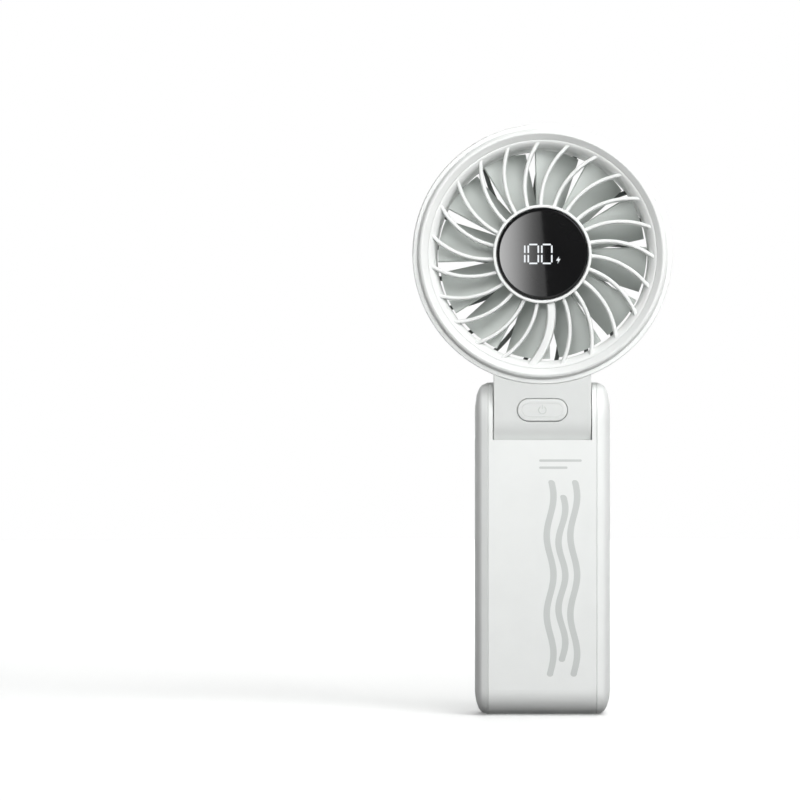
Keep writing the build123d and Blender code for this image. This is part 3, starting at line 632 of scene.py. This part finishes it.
class Workpiece:
    """One mesh piece on the bench, shaped in edit mode with Blender's own tools."""

    def __init__(self, name: str) -> None:
        """Take the newest primitive, put its place in its mesh and start to shape it.

        Args:
            name: The piece's name.
        """
        self.piece = bpy.context.view_layer.objects.active
        self.piece.name = name
        take(self.piece)
        bpy.ops.object.transform_apply(location=True, rotation=True, scale=True)
        bpy.ops.object.mode_set(mode="EDIT")
        bpy.ops.mesh.select_all(action="SELECT")

    @classmethod
    def plate(cls, name: str, centre: Place, size: tuple[float, float], turn: Place = (0.0, 0.0, 0.0),
              ) -> "Workpiece":
        """Start from a flat rectangle.

        Args:
            name: The piece's name.
            centre: The rectangle's centre.
            size: Its width and height before it is turned.
            turn: Its rotation about X, Y and Z.

        Returns:
            The new workpiece.
        """
        put_down()
        bpy.ops.mesh.primitive_plane_add(size=1.0, location=centre, rotation=turn)
        bpy.context.view_layer.objects.active.scale = (size[0], size[1], 1.0)
        return cls(name)

    @classmethod
    def hoop(cls, name: str, centre: Place, radius: float, sides: int, filled: bool = False,
             turn: Place = (pi / 2, 0.0, 0.0)) -> "Workpiece":
        """Start from a circle that faces the front, or as it is turned.

        Args:
            name: The piece's name.
            centre: The circle's centre.
            radius: Its radius.
            sides: How many sides it has.
            filled: Whether it starts as a disc.
            turn: Its rotation about X, Y and Z.

        Returns:
            The new workpiece.
        """
        put_down()
        bpy.ops.mesh.primitive_circle_add(vertices=sides, radius=radius, location=centre, rotation=turn,
                                          fill_type="NGON" if filled else "NOTHING")
        return cls(name)

    def pick(self, kind: str, wanted: Callable[..., bool]) -> int:
        """Select the parts of the mesh that pass a test, and nothing else.

        Args:
            kind: "VERT", "EDGE" or "FACE".
            wanted: The test. It is given a vertex's place, an edge's two ends, or a face's middle and normal.

        Returns:
            How many were selected.
        """
        bpy.ops.mesh.select_mode(type=kind)
        bpy.ops.mesh.select_all(action="DESELECT")
        mesh = bmesh.from_edit_mesh(self.piece.data)
        chosen = []
        if kind == "VERT":
            chosen = [v for v in mesh.verts if wanted(v.co)]
        elif kind == "EDGE":
            chosen = [e for e in mesh.edges if wanted(e.verts[0].co, e.verts[1].co)]
        else:
            mesh.normal_update()
            chosen = [f for f in mesh.faces if wanted(f.calc_center_median(), f.normal)]
        for part in chosen:
            part.select_set(True)
        mesh.select_flush_mode()
        bmesh.update_edit_mesh(self.piece.data)
        return len(chosen)

    def push(self, move: Place) -> "Workpiece":
        """Extrude the selected faces by a move."""
        bpy.ops.mesh.extrude_region_move(TRANSFORM_OT_translate={"value": move})
        return self

    def draw(self, move: Place) -> "Workpiece":
        """Extrude the selected edges by a move."""
        bpy.ops.mesh.extrude_edges_move(TRANSFORM_OT_translate={"value": move})
        return self

    def swell(self, scale: Place, centre: Place) -> "Workpiece":
        """Scale the selection about a centre."""
        bpy.ops.transform.resize(value=scale, center_override=centre)
        return self

    def inset(self, width: float, height: float = 0.0) -> "Workpiece":
        """Inset the selected faces, raised or sunk by a height."""
        bpy.ops.mesh.inset(thickness=width, depth=height)
        return self

    def round_off(self, radius: float, steps: int, corners: bool = False) -> "Workpiece":
        """Round the selected edges, or the selected corners of a flat face."""
        bpy.ops.mesh.bevel(offset=radius, segments=steps, affect="VERTICES" if corners else "EDGES",
                           clamp_overlap=False)
        return self

    def lathe(self, profile: Iterable[tuple[float, float]], centre_z: float, start: tuple[float, float],
              ) -> "Workpiece":
        """Draw the selected circle out along a profile about the head's axis.

        Args:
            profile: The (depth, radius) points after the first.
            centre_z: The height of the axis.
            start: The depth and radius of the selected circle.

        Returns:
            This workpiece, with the last circle selected.
        """
        depth, radius = start
        for next_depth, next_radius in profile:
            self.draw((0.0, next_depth - depth, 0.0))
            self.swell((next_radius / radius, 1.0, next_radius / radius), (0.0, next_depth, centre_z))
            depth, radius = next_depth, next_radius
        return self

    def merge(self, distance: float = 0.005 * MM) -> "Workpiece":
        """Merge vertices that lie on each other.

        Args:
            distance: How close two vertices are to count as one.

        Returns:
            The workpiece itself.
        """
        bpy.ops.mesh.select_all(action="SELECT")
        bpy.ops.mesh.remove_doubles(threshold=distance)
        return self

    def done(self, smooth: float = 35.0) -> bpy.types.Object:
        """Turn the faces outwards, smooth the gentle edges and leave edit mode.

        Args:
            smooth: The edge angle, in degrees, up to which the piece shades smoothly.

        Returns:
            The finished piece.
        """
        bpy.ops.mesh.select_all(action="SELECT")
        bpy.ops.mesh.normals_make_consistent(inside=False)
        bpy.ops.object.mode_set(mode="OBJECT")
        take(self.piece)
        bpy.ops.object.shade_smooth_by_angle(angle=radians(smooth))
        put_down()
        return self.piece


def modify(piece: bpy.types.Object, kind: str, **settings: object) -> None:
    """Add a modifier to a piece and apply it.

    Args:
        piece: The piece.
        kind: The modifier's type.
        settings: Values for the modifier's own properties.
    """
    take(piece)
    modifier = piece.modifiers.new(kind.lower(), kind)
    for key, value in settings.items():
        setattr(modifier, key, value)
    bpy.ops.object.modifier_apply(modifier=modifier.name)
    put_down()


def centre_of(node: str) -> Vector:
    """The middle of a CAD node's box."""
    low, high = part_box(node)
    return (low + high) / 2


def fit(piece: bpy.types.Object, body: str, slot: str, rack: FinishRack, stands_for: Sequence[str] = (),
        ) -> bpy.types.Object:
    """Dress a new piece and join it to the frame.

    Args:
        piece: The finished piece.
        body: The CAD body that it moves with.
        slot: The record's slot that its finish comes from.
        rack: The finishes.
        stands_for: The CAD nodes that it takes the place of.

    Returns:
        The piece.
    """
    rack.dress(piece, slot)
    if stands_for:
        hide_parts(*stands_for)
    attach(piece, body)
    log.info("%s: %d faces, on %s, finish %s", piece.name, len(piece.data.polygons), body, slot)
    return piece


# ------------------------------------------------------------------------------------------ the head
@dataclass
class GuardGrille:
    """The front guard: a funnel rim, curved ribs, and a cup in the middle that holds the display."""

    rack: FinishRack
    rib_count: int = 23
    wide_rib: int = 12
    rib_width: float = 1.15 * MM
    wide_rib_width: float = 2.5 * MM
    rib_draft: float = 1.3
    rib_front: float = -12.75 * MM
    rib_back: float = -8.6 * MM
    rib_round: float = 0.42 * MM
    rib_reach: tuple[float, float] = (16.2 * MM, 38.0 * MM)
    rib_sweep: float = 15.5
    rib_bulge: float = 2.6 * MM
    first_rib: float = -2.0
    rib_steps: int = 18
    sides: int = 144
    cup_radius: float = 16.7 * MM
    cup_bore: float = 15.68 * MM
    cup_front: float = -14.0 * MM
    cup_floor: float = -10.0 * MM
    cup_back: float = -9.0 * MM

    def rib(self, width: float) -> bpy.types.Object:
        """Model one rib whose outer end is at the top.

        Args:
            width: The rib's width at its front.

        Returns:
            The rib.
        """
        centre_z = centre_of("display_lens").z
        inner, outer = self.rib_reach
        turn = radians(-self.rib_sweep)
        start = Vector((inner * sin(turn), 0.0, inner * cos(turn)))
        end = Vector((0.0, 0.0, outer))
        chord = end - start
        across = Vector((-chord.z, 0.0, chord.x)).normalized()
        bend = (self.rib_bulge ** 2 + (chord.length / 2) ** 2) / (2 * self.rib_bulge)
        pivot = (start + end) / 2 + across * (self.rib_bulge - bend)
        arm, tip = start - pivot, end - pivot
        angle = atan2(arm.x * tip.z - arm.z * tip.x, arm.x * tip.x + arm.z * tip.z)
        depth = self.rib_back - self.rib_front
        middle = (self.rib_front + self.rib_back) / 2
        work = Workpiece.plate("guard_rib", (0.0, 0.0, 0.0), (width, depth))
        work.pick("VERT", lambda v: v.y > 0.0)
        work.swell((self.rib_draft, 1.0, 1.0), (0.0, 0.0, 0.0))
        work.pick("VERT", lambda v: v.y < 0.0)
        work.round_off(self.rib_round, 5, corners=True)
        put_down()
        rib = work.piece
        rib.location = (start.x, middle, centre_z + start.z)
        rib.rotation_euler = (0.0, atan2(-arm.z, arm.x), 0.0)
        bpy.context.view_layer.objects.active = rib
        work = Workpiece("guard_rib")
        hub = pivot + Vector((0.0, middle, centre_z))
        bpy.ops.mesh.spin(steps=self.rib_steps, angle=angle, center=hub, axis=(0.0, 1.0, 0.0))
        return work.done(50.0)

    def rim(self) -> bpy.types.Object:
        """Model the funnel that the ribs run into.

        Returns:
            The funnel.
        """
        centre_z = centre_of("display_lens").z
        outline = [(-13.12, 38.5), (-13.02, 38.2), (-12.65, 37.7), (-12.1, 37.2), (-11.4, 36.72),
                   (-10.6, 36.38), (-9.8, 36.22), (-8.2, 36.2), (-8.2, 37.3), (-10.6, 37.3),
                   (-11.5, 38.72), (-13.1, 38.72)]
        profile = [(depth * MM, radius * MM) for depth, radius in outline]
        start = profile[-1]
        work = Workpiece.hoop("guard_rim", (0.0, start[0], centre_z), start[1], self.sides)
        work.lathe(profile, centre_z, start)
        return work.merge().done()

    def cup(self) -> bpy.types.Object:
        """Model the display cup, with rounded lips.

        Returns:
            The cup.
        """
        centre_z = centre_of("display_lens").z
        lip = 0.25 * MM
        start = (self.cup_floor, self.cup_bore)
        profile = [
            (self.cup_front + lip, self.cup_bore),
            (self.cup_front + 0.3 * lip, self.cup_bore + 0.3 * lip),
            (self.cup_front, self.cup_bore + lip), (self.cup_front, self.cup_radius - lip),
            (self.cup_front + 0.3 * lip, self.cup_radius - 0.3 * lip),
            (self.cup_front + lip, self.cup_radius),
            (self.cup_back - lip, self.cup_radius), (self.cup_back, self.cup_radius - lip)]
        work = Workpiece.hoop("guard_cup", (0.0, self.cup_floor, centre_z), self.cup_bore, self.sides, True)
        work.lathe(profile, centre_z, start)
        bpy.ops.mesh.edge_face_add()
        return work.done()

    def build(self) -> bpy.types.Object:
        """Model the guard and set it in the frame.

        Returns:
            The guard.
        """
        centre_z = centre_of("display_lens").z
        thin, wide = self.rib(self.rib_width), self.rib(self.wide_rib_width)
        ribs = []
        for place in range(self.rib_count):
            angle = radians(self.first_rib + 360.0 / self.rib_count * place)
            model = wide if place == self.wide_rib else thin
            ribs.append(copy_of(model, f"guard_rib_{place}", turned_about_head(angle, centre_z)))
        for model in (thin, wide):
            bpy.data.objects.remove(model)
        guard = join([self.rim(), self.cup(), *ribs], "guard_grille")
        return fit(guard, "head", "white_trim", self.rack, ["front_grille"])


@dataclass
class SmokedWindow:
    """The round glass over the display, with a ground edge; the lit digits stand a hair proud of it."""

    rack: FinishRack
    set_back: float = 0.02 * MM
    edge_gap: float = 0.12 * MM
    ground: tuple[tuple[float, float], ...] = (
        (0.0, 0.95), (0.0, 0.62), (0.05, 0.42), (0.16, 0.2), (0.36, 0.05), (0.6, 0.0))
    sides: int = 160

    def build(self) -> bpy.types.Object:
        """Model the glass and set it in the frame.

        Returns:
            The glass.
        """
        low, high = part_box("display_lens")
        centre_z = (low.z + high.z) / 2
        radius = (high.x - low.x) / 2 - self.edge_gap
        front = low.y + self.set_back
        edge = [(front + depth * MM, radius - inwards * MM) for depth, inwards in self.ground]
        work = Workpiece.hoop("smoked_window", (0.0, front, centre_z), edge[0][1], self.sides, True)
        work.lathe([*edge[1:], (high.y, radius)], centre_z, edge[0])
        bpy.ops.mesh.edge_face_add()
        return fit(work.done(), "head", "display_black", self.rack, ["display_lens"])


# ------------------------------------------------------------------------------------------ the handle
@dataclass
class SidePillow:
    """The soft, pillowed side covers of the handle."""

    rack: FinishRack
    base_round: float = 9.0 * MM
    base_steps: int = 14
    top_steps: int = 24
    steps: tuple[tuple[float, float], ...] = (
        (0.12, 0.06), (1.85, 0.8), (2.2, 1.02), (2.6, 1.4), (3.0, 1.95), (3.35, 2.65), (3.65, 3.4),
        (3.95, 4.3), (4.2, 5.4), (4.38, 6.6), (4.5, 8.0))
    cap_radius: float = 8.5 * MM
    cap_floor: float = 19.7 * MM

    def build(self) -> list[bpy.types.Object]:
        """Model the right-hand cover, mirror it, and set both in the frame.

        Returns:
            The two covers.
        """
        low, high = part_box("right_side_cover")
        half = (high.y - low.y) / 2
        hinge_z = high.z - half
        middle = (low.z + high.z) / 2
        work = Workpiece.plate("right_pillow", (low.x, 0.0, middle), (high.z - low.z, 2 * half),
                               (0.0, pi / 2, 0.0))
        work.pick("VERT", lambda v: v.z < middle)
        work.round_off(self.base_round, self.base_steps, corners=True)
        work.pick("VERT", lambda v: v.z > high.z - 0.01 * MM)
        work.round_off(half * 0.9999, self.top_steps, corners=True)
        work.merge()
        work.push((self.steps[0][0] * MM, 0.0, 0.0))
        before = self.steps[0]
        for after in self.steps[1:]:
            work.inset((after[1] - before[1]) * MM, (after[0] - before[0]) * MM)
            before = after
        cover = work.done(14.0)
        self.bore(cover, hinge_z, high.x)
        mirrored = copy_of(cover, "left_pillow", Matrix.Scale(-1.0, 4, (1.0, 0.0, 0.0)))
        take(mirrored)
        bpy.ops.object.mode_set(mode="EDIT")
        bpy.ops.mesh.select_all(action="SELECT")
        bpy.ops.mesh.normals_make_consistent(inside=False)
        put_down()
        return [fit(cover, "handle", "white_shell", self.rack, ["right_side_cover"]),
                fit(mirrored, "handle", "white_shell", self.rack, ["left_side_cover"])]

    def bore(self, cover: bpy.types.Object, hinge_z: float, outside: float) -> None:
        """Cut the round seat of the hinge cap.

        Args:
            cover: The cover to cut.
            hinge_z: The height of the hinge axis.
            outside: The cover's outermost place along X.
        """
        put_down()
        length = 2 * (outside - self.cap_floor)
        bpy.ops.mesh.primitive_cylinder_add(vertices=96, radius=self.cap_radius + 0.08 * MM, depth=length,
                                            location=(self.cap_floor + length / 2, 0.0, hinge_z),
                                            rotation=(0.0, pi / 2, 0.0))
        cutter = bpy.context.view_layer.objects.active
        modify(cover, "BOOLEAN", operation="DIFFERENCE", object=cutter, solver="EXACT")
        bpy.data.objects.remove(cutter)
        take(cover)
        bpy.ops.object.shade_smooth_by_angle(angle=radians(14.0))
        put_down()


@dataclass
class ThumbButton:
    """The capsule power button on the neck, with a sunk line round its pad and a raised mark."""

    rack: FinishRack
    half_length: float = 8.45 * MM
    half_height: float = 3.75 * MM
    flange: float = 1.0 * MM
    flange_thickness: float = 0.8 * MM
    edge: float = 0.3 * MM
    border: float = 1.05 * MM
    line: float = 0.12 * MM
    line_depth: float = 0.14 * MM
    mark_radius: float = 1.25 * MM
    mark_width: float = 0.13 * MM
    mark_gap: float = 32.0
    mark_bar: float = 1.5 * MM
    flange_depth: float = 1.77 * MM
    edge_steps: int = 4

    def cap(self) -> bpy.types.Object:
        """Model the cap from its flange forwards.

        Returns:
            The cap.
        """
        low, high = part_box("power_button")
        centre = (low + high) / 2
        wide, tall = self.half_length + self.flange, self.half_height + self.flange
        back = low.y + self.flange_depth + self.flange_thickness
        work = Workpiece.plate("thumb_button", (0.0, back, centre.z), (2 * wide, 2 * tall),
                               (pi / 2, 0.0, 0.0))
        work.round_off(tall * 0.9999, 16, corners=True)
        work.merge()
        work.push((0.0, -self.flange_thickness, 0.0))
        work.inset(self.flange)
        front = low.y
        work.push((0.0, front + self.edge - (back - self.flange_thickness), 0.0))
        step = pi / 2 / self.edge_steps
        for turn in range(1, self.edge_steps + 1):
            now, last = step * turn, step * (turn - 1)
            work.inset(self.edge * (cos(last) - cos(now)), self.edge * (sin(now) - sin(last)))
        work.inset(self.border)
        work.inset(self.line, -self.line_depth)
        work.inset(self.line, self.line_depth)
        return work.done(30.0)

    def mark(self) -> bpy.types.Object:
        """Model the raised power mark: an open ring and a short bar.

        Returns:
            The mark.
        """
        low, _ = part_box("power_button")
        centre = Vector((0.0, low.y, centre_of("power_button").z))
        put_down()
        bpy.ops.mesh.primitive_torus_add(major_radius=self.mark_radius, minor_radius=self.mark_width,
                                         major_segments=72, minor_segments=10, location=centre,
                                         rotation=(pi / 2, 0.0, 0.0))
        work = Workpiece("power_ring")
        gap = radians(self.mark_gap)
        work.pick("FACE", lambda m, n: abs(atan2(m.x, m.z - centre.z)) < gap)
        bpy.ops.mesh.delete(type="FACE")
        work.pick("EDGE", lambda a, b: False)
        bpy.ops.mesh.select_non_manifold(extend=False)
        bpy.ops.mesh.edge_face_add()
        ring = work.done()
        top = centre + Vector((0.0, 0.0, self.mark_radius * 0.85))
        work = Workpiece.plate("power_bar", top + Vector((0.0, self.mark_width, 0.0)),
                               (2 * self.mark_width, self.mark_bar), (pi / 2, 0.0, 0.0))
        work.round_off(self.mark_width * 0.98, 5, corners=True)
        work.merge()
        work.push((0.0, -1.7 * self.mark_width, 0.0))
        work.inset(self.mark_width * 0.35, self.mark_width * 0.3)
        return join([ring, work.done()], "power_mark")

    def build(self) -> list[bpy.types.Object]:
        """Model the button and its mark and set them in the frame.

        Returns:
            The button's pieces.
        """
        return [fit(self.cap(), "button", "button_white", self.rack, ["power_button"]),
                fit(self.mark(), "button", "impeller_grey", self.rack)]


@dataclass
class PanelMark:
    """A printed breeze pattern on the front panel: wavy strokes and two short bars above them."""

    rack: FinishRack
    first_x: float = 2.6 * MM
    pitch: float = 4.0 * MM
    stroke: float = 2.2 * MM
    low_z: float = 13.5 * MM
    high_z: float = 80.0 * MM
    wave: float = 1.15 * MM
    turns: float = 2.5
    points: int = 60
    ink: float = 0.03 * MM
    bars: tuple[tuple[float, float], ...] = ((86.6, 14.4), (84.2, 9.6))
    bar_height: float = 0.8 * MM
    bar_left: float = -1.1 * MM

    def strand(self, place: int, face_y: float) -> bpy.types.Object:
        """Model one wavy stroke as a thin printed film.

        Args:
            place: Which stroke it is, from the left.
            face_y: The depth of the panel's face.

        Returns:
            The stroke.
        """
        middle = self.first_x + self.pitch * place
        ends = [self.low_z + 5.0 * MM * (place == 1), self.high_z - 5.0 * MM * (place == 1)]
        step = (ends[1] - ends[0]) / self.points

        def shift(index: int) -> float:
            """How far the stroke leans out at a point along it."""
            return self.wave * sin(2 * pi * self.turns * index / self.points)

        work = Workpiece.plate("breeze_stroke", (middle, face_y - self.ink / 4, ends[0] + step / 2),
                               (self.stroke, step), (pi / 2, 0.0, 0.0))
        top = ends[0] + step
        work.pick("EDGE", lambda a, b: min(a.z, b.z) > top - 0.01 * MM)
        for index in range(1, self.points):
            work.draw((shift(index) - shift(index - 1), 0.0, step))
        work.pick("EDGE", lambda a, b: max(a.z, b.z) < ends[0] + 0.01 * MM
                  or min(a.z, b.z) > ends[1] - 0.01 * MM)
        bpy.ops.mesh.select_mode(type="VERT")
        work.round_off(self.stroke * 0.45, 8, corners=True)
        return work.done()

    def build(self) -> bpy.types.Object:
        """Model the print and set it in the frame.

        Returns:
            The print.
        """
        face_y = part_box("handle_front_shell")[0].y
        films = [self.strand(place, face_y) for place in range(3)]
        for height, length in self.bars:
            centre = (self.bar_left + length * MM / 2, face_y - self.ink / 4, height * MM)
            work = Workpiece.plate("breeze_bar", centre, (length * MM, self.bar_height), (pi / 2, 0.0, 0.0))
            work.round_off(self.bar_height * 0.49, 6, corners=True)
            films.append(work.done())
        print_film = join(films, "breeze_print")
        modify(print_film, "SOLIDIFY", thickness=self.ink, offset=0.0)
        take(print_film)
        bpy.ops.object.shade_smooth_by_angle(angle=radians(20.0))
        put_down()
        return fit(print_film, "handle", "print_grey", self.rack)


# ------------------------------------------------------------------------------------------ the studio
class Side(Enum):
    """Where a light stands, as a direction from what it lights."""

    HIGH_RIGHT = (0.55, -0.62, 0.62)
    FRONT = (0.05, -1.0, 0.4)
    TOP = (0.2, 0.15, 1.0)
    BEFORE_BACKDROP = (0.0, -1.0, 0.9)


@dataclass(frozen=True)
class Lamp:
    """A soft square light that faces what it lights."""

    name: str
    side: Side
    distance: float
    size: float
    power: float
    aim: Place = (0.0, 0.0, 0.12)
    mirrored: bool = True

    def hang(self) -> None:
        """Hang the light in the studio."""
        light = bpy.data.lights.new(self.name, "AREA")
        light.shape, light.size, light.energy = "SQUARE", self.size, self.power
        lamp = bpy.data.objects.new(self.name, light)
        direction = Vector(self.side.value).normalized()
        lamp.location = Vector(self.aim) + direction * self.distance
        lamp.rotation_euler = direction.to_track_quat("Z", "Y").to_euler()
        lamp.visible_glossy = self.mirrored
        bpy.context.scene.collection.objects.link(lamp)


LAMPS = (
    Lamp("key_light", Side.HIGH_RIGHT, 1.2, 0.7, 9.0),
    Lamp("front_light", Side.FRONT, 1.8, 1.0, 21.0, mirrored=False),
    Lamp("top_light", Side.TOP, 1.4, 0.8, 2.5),
    Lamp("backdrop_light", Side.BEFORE_BACKDROP, 2.4, 2.4, 42.0, aim=(0.0, 3.0, 0.3)),
)


FLAGS = (
    ("side_flag", (-0.32, 0.1, 0.41), (0.7, 1.0), (0.0, pi / 2, 0.0)),
    ("floor_flag", (0.0, -0.2, 0.0004), (0.6, 0.52), (0.0, 0.0, 0.0)),
)


@dataclass
class Studio:
    """Floor, backdrop, lights and camera."""

    aim_z: float = 107.1 * MM
    view_width: float = 270.7 * MM
    lens: float = 180.0
    sensor: float = 36.0
    shift: float = -0.178
    room: float = 6.0
    surround_radius: float = 1.7
    surround_height: float = 3.0
    surround_foot: float = -0.05
    surround_sides: int = 96
    cove_radius: float = 0.8
    cove_steps: int = 24
    card_x: float = -34.0 * MM
    card_size: tuple[float, float] = (70.0 * MM, 90.0 * MM)
    card_turn: float = 4.0
    card_fade: float = -36.0 * MM
    card_dim: float = 2.6
    card_bright: float = 26.0
    ambient: float = 0.15

    def lay_floor(self) -> None:
        """Lay a wide pale floor that curves up into a backdrop behind the fan."""
        work = Workpiece.plate("studio_floor", (0.0, 0.0, 0.0), (self.room, self.room))
        back = self.room / 2
        work.pick("EDGE", lambda a, b: min(a.y, b.y) > back - 0.01)
        work.draw((0.0, 0.0, self.room / 2))
        work.pick("EDGE", lambda a, b: min(a.y, b.y) > back - 0.01 and max(a.z, b.z) < 0.01)
        work.round_off(self.cove_radius, self.cove_steps)
        floor = work.done(60.0)
        floor.data.materials.append(StudioPaper("studio_paper", (0.93, 0.935, 0.93), 0.14).make())

    def set_camera(self) -> None:
        """Set the camera level and square to the fan's front, with the fan right of the middle."""
        camera = bpy.data.cameras.new("studio_camera")
        camera.lens, camera.sensor_width, camera.shift_x = self.lens, self.sensor, self.shift
        camera.clip_start, camera.clip_end = 0.05, 40.0
        stand = bpy.data.objects.new("studio_camera", camera)
        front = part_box("handle_front_shell")[0].y
        stand.location = (0.0, front - self.view_width * self.lens / self.sensor, self.aim_z)
        stand.rotation_euler = (pi / 2, 0.0, 0.0)
        bpy.context.scene.collection.objects.link(stand)
        bpy.context.scene.camera = stand

    def set_card(self) -> None:
        """Stand a graded card beside the camera, seen only in glossy surfaces such as the lens."""
        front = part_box("display_lens")[0].y
        distance = front - self.view_width * self.lens / self.sensor
        height = 2 * centre_of("display_lens").z - self.aim_z
        work = Workpiece.plate("lens_card", (self.card_x, distance, height), self.card_size,
                               (pi / 2, 0.0, 0.0))
        bpy.ops.transform.rotate(value=radians(self.card_turn), orient_axis="Y",
                                 center_override=(0.0, distance, height))
        card = work.done()
        sheet = NodeSheet("card_glow")
        fall = sheet.add("ShaderNodeMapRange", interpolation_type="SMOOTHSTEP")
        fall.inputs["From Min"].default_value = 0.0
        fall.inputs["From Max"].default_value = self.card_fade
        fall.inputs["To Min"].default_value = self.card_dim
        fall.inputs["To Max"].default_value = self.card_bright
        parts = sheet.add("ShaderNodeSeparateXYZ")
        sheet.join(sheet.place, parts.inputs["Vector"])
        sheet.join(parts.outputs["X"], fall.inputs["Value"])
        sheet.join(fall.outputs["Result"], sheet.shader.inputs["Emission Strength"])
        sheet.shader.inputs["Emission Color"].default_value = (1.0, 1.0, 1.0, 1.0)
        sheet.shader.inputs["Base Color"].default_value = (0.0, 0.0, 0.0, 1.0)
        card.data.materials.append(sheet.material)
        card.visible_camera = card.visible_diffuse = card.visible_shadow = False

    def hang_surround(self) -> None:
        """Hang a bright round curtain that only the camera sees, so that every view has a plain backdrop."""
        work = Workpiece.hoop("studio_surround", (0.0, 0.0, self.surround_foot), self.surround_radius,
                              self.surround_sides, turn=(0.0, 0.0, 0.0))
        work.draw((0.0, 0.0, self.surround_height))
        curtain = work.done(60.0)
        sheet = NodeSheet("curtain_glow")
        sheet.shader.inputs["Base Color"].default_value = (0.0, 0.0, 0.0, 1.0)
        sheet.shader.inputs["Specular IOR Level"].default_value = 0.0
        sheet.shader.inputs["Emission Color"].default_value = (1.0, 1.0, 1.0, 1.0)
        sheet.shader.inputs["Emission Strength"].default_value = 1.0
        curtain.data.materials.append(sheet.material)
        curtain.visible_diffuse = curtain.visible_glossy = curtain.visible_shadow = False
        curtain.visible_transmission = False

    def set_flags(self) -> None:
        """Stand black flags left of the fan and low before it, which only take soft light away."""
        cloth = FlagCloth("flag_black", (0.005, 0.005, 0.005)).make()
        for name, centre, size, turn in FLAGS:
            flag = Workpiece.plate(name, centre, size, turn).piece
            put_down()
            flag.data.materials.append(cloth)
            flag.visible_camera = flag.visible_glossy = flag.visible_shadow = False

    def build(self) -> None:
        """Set up the whole studio."""
        self.set_camera()
        self.lay_floor()
        self.set_card()
        self.hang_surround()
        self.set_flags()
        world = bpy.data.worlds.new("studio_air")
        world.use_nodes = True
        sky = world.node_tree.nodes["Background"]
        sky.inputs["Color"].default_value = (0.98, 1.0, 0.985, 1.0)
        sky.inputs["Strength"].default_value = self.ambient
        bpy.context.scene.world = world
        for lamp in LAMPS:
            lamp.hang()
        bpy.context.scene.view_settings.view_transform = "Standard"


# ------------------------------------------------------------------------------------------ assembly
def dress_frame(rack: FinishRack) -> None:
    """Give every CAD node the finish of its slot.

    Args:
        rack: The finishes.
    """
    for row in frame["record"]["subparts"]:
        rack.dress(frame["nodes"][row["node"]], row["material_slot"])
        log.info("%s: carried over, finish %s", row["node"], row["material_slot"])


def main() -> None:
    """Build the fan's visual pieces and the studio in order."""
    logging.basicConfig(level=logging.INFO, format="%(name)s: %(message)s")
    rack = FinishRack(FINISHES)
    Studio().build()
    dress_frame(rack)
    GuardGrille(rack).build()
    SmokedWindow(rack).build()
    SidePillow(rack).build()
    ThumbButton(rack).build()
    PanelMark(rack).build()


if __name__ == "__main__":
    main()
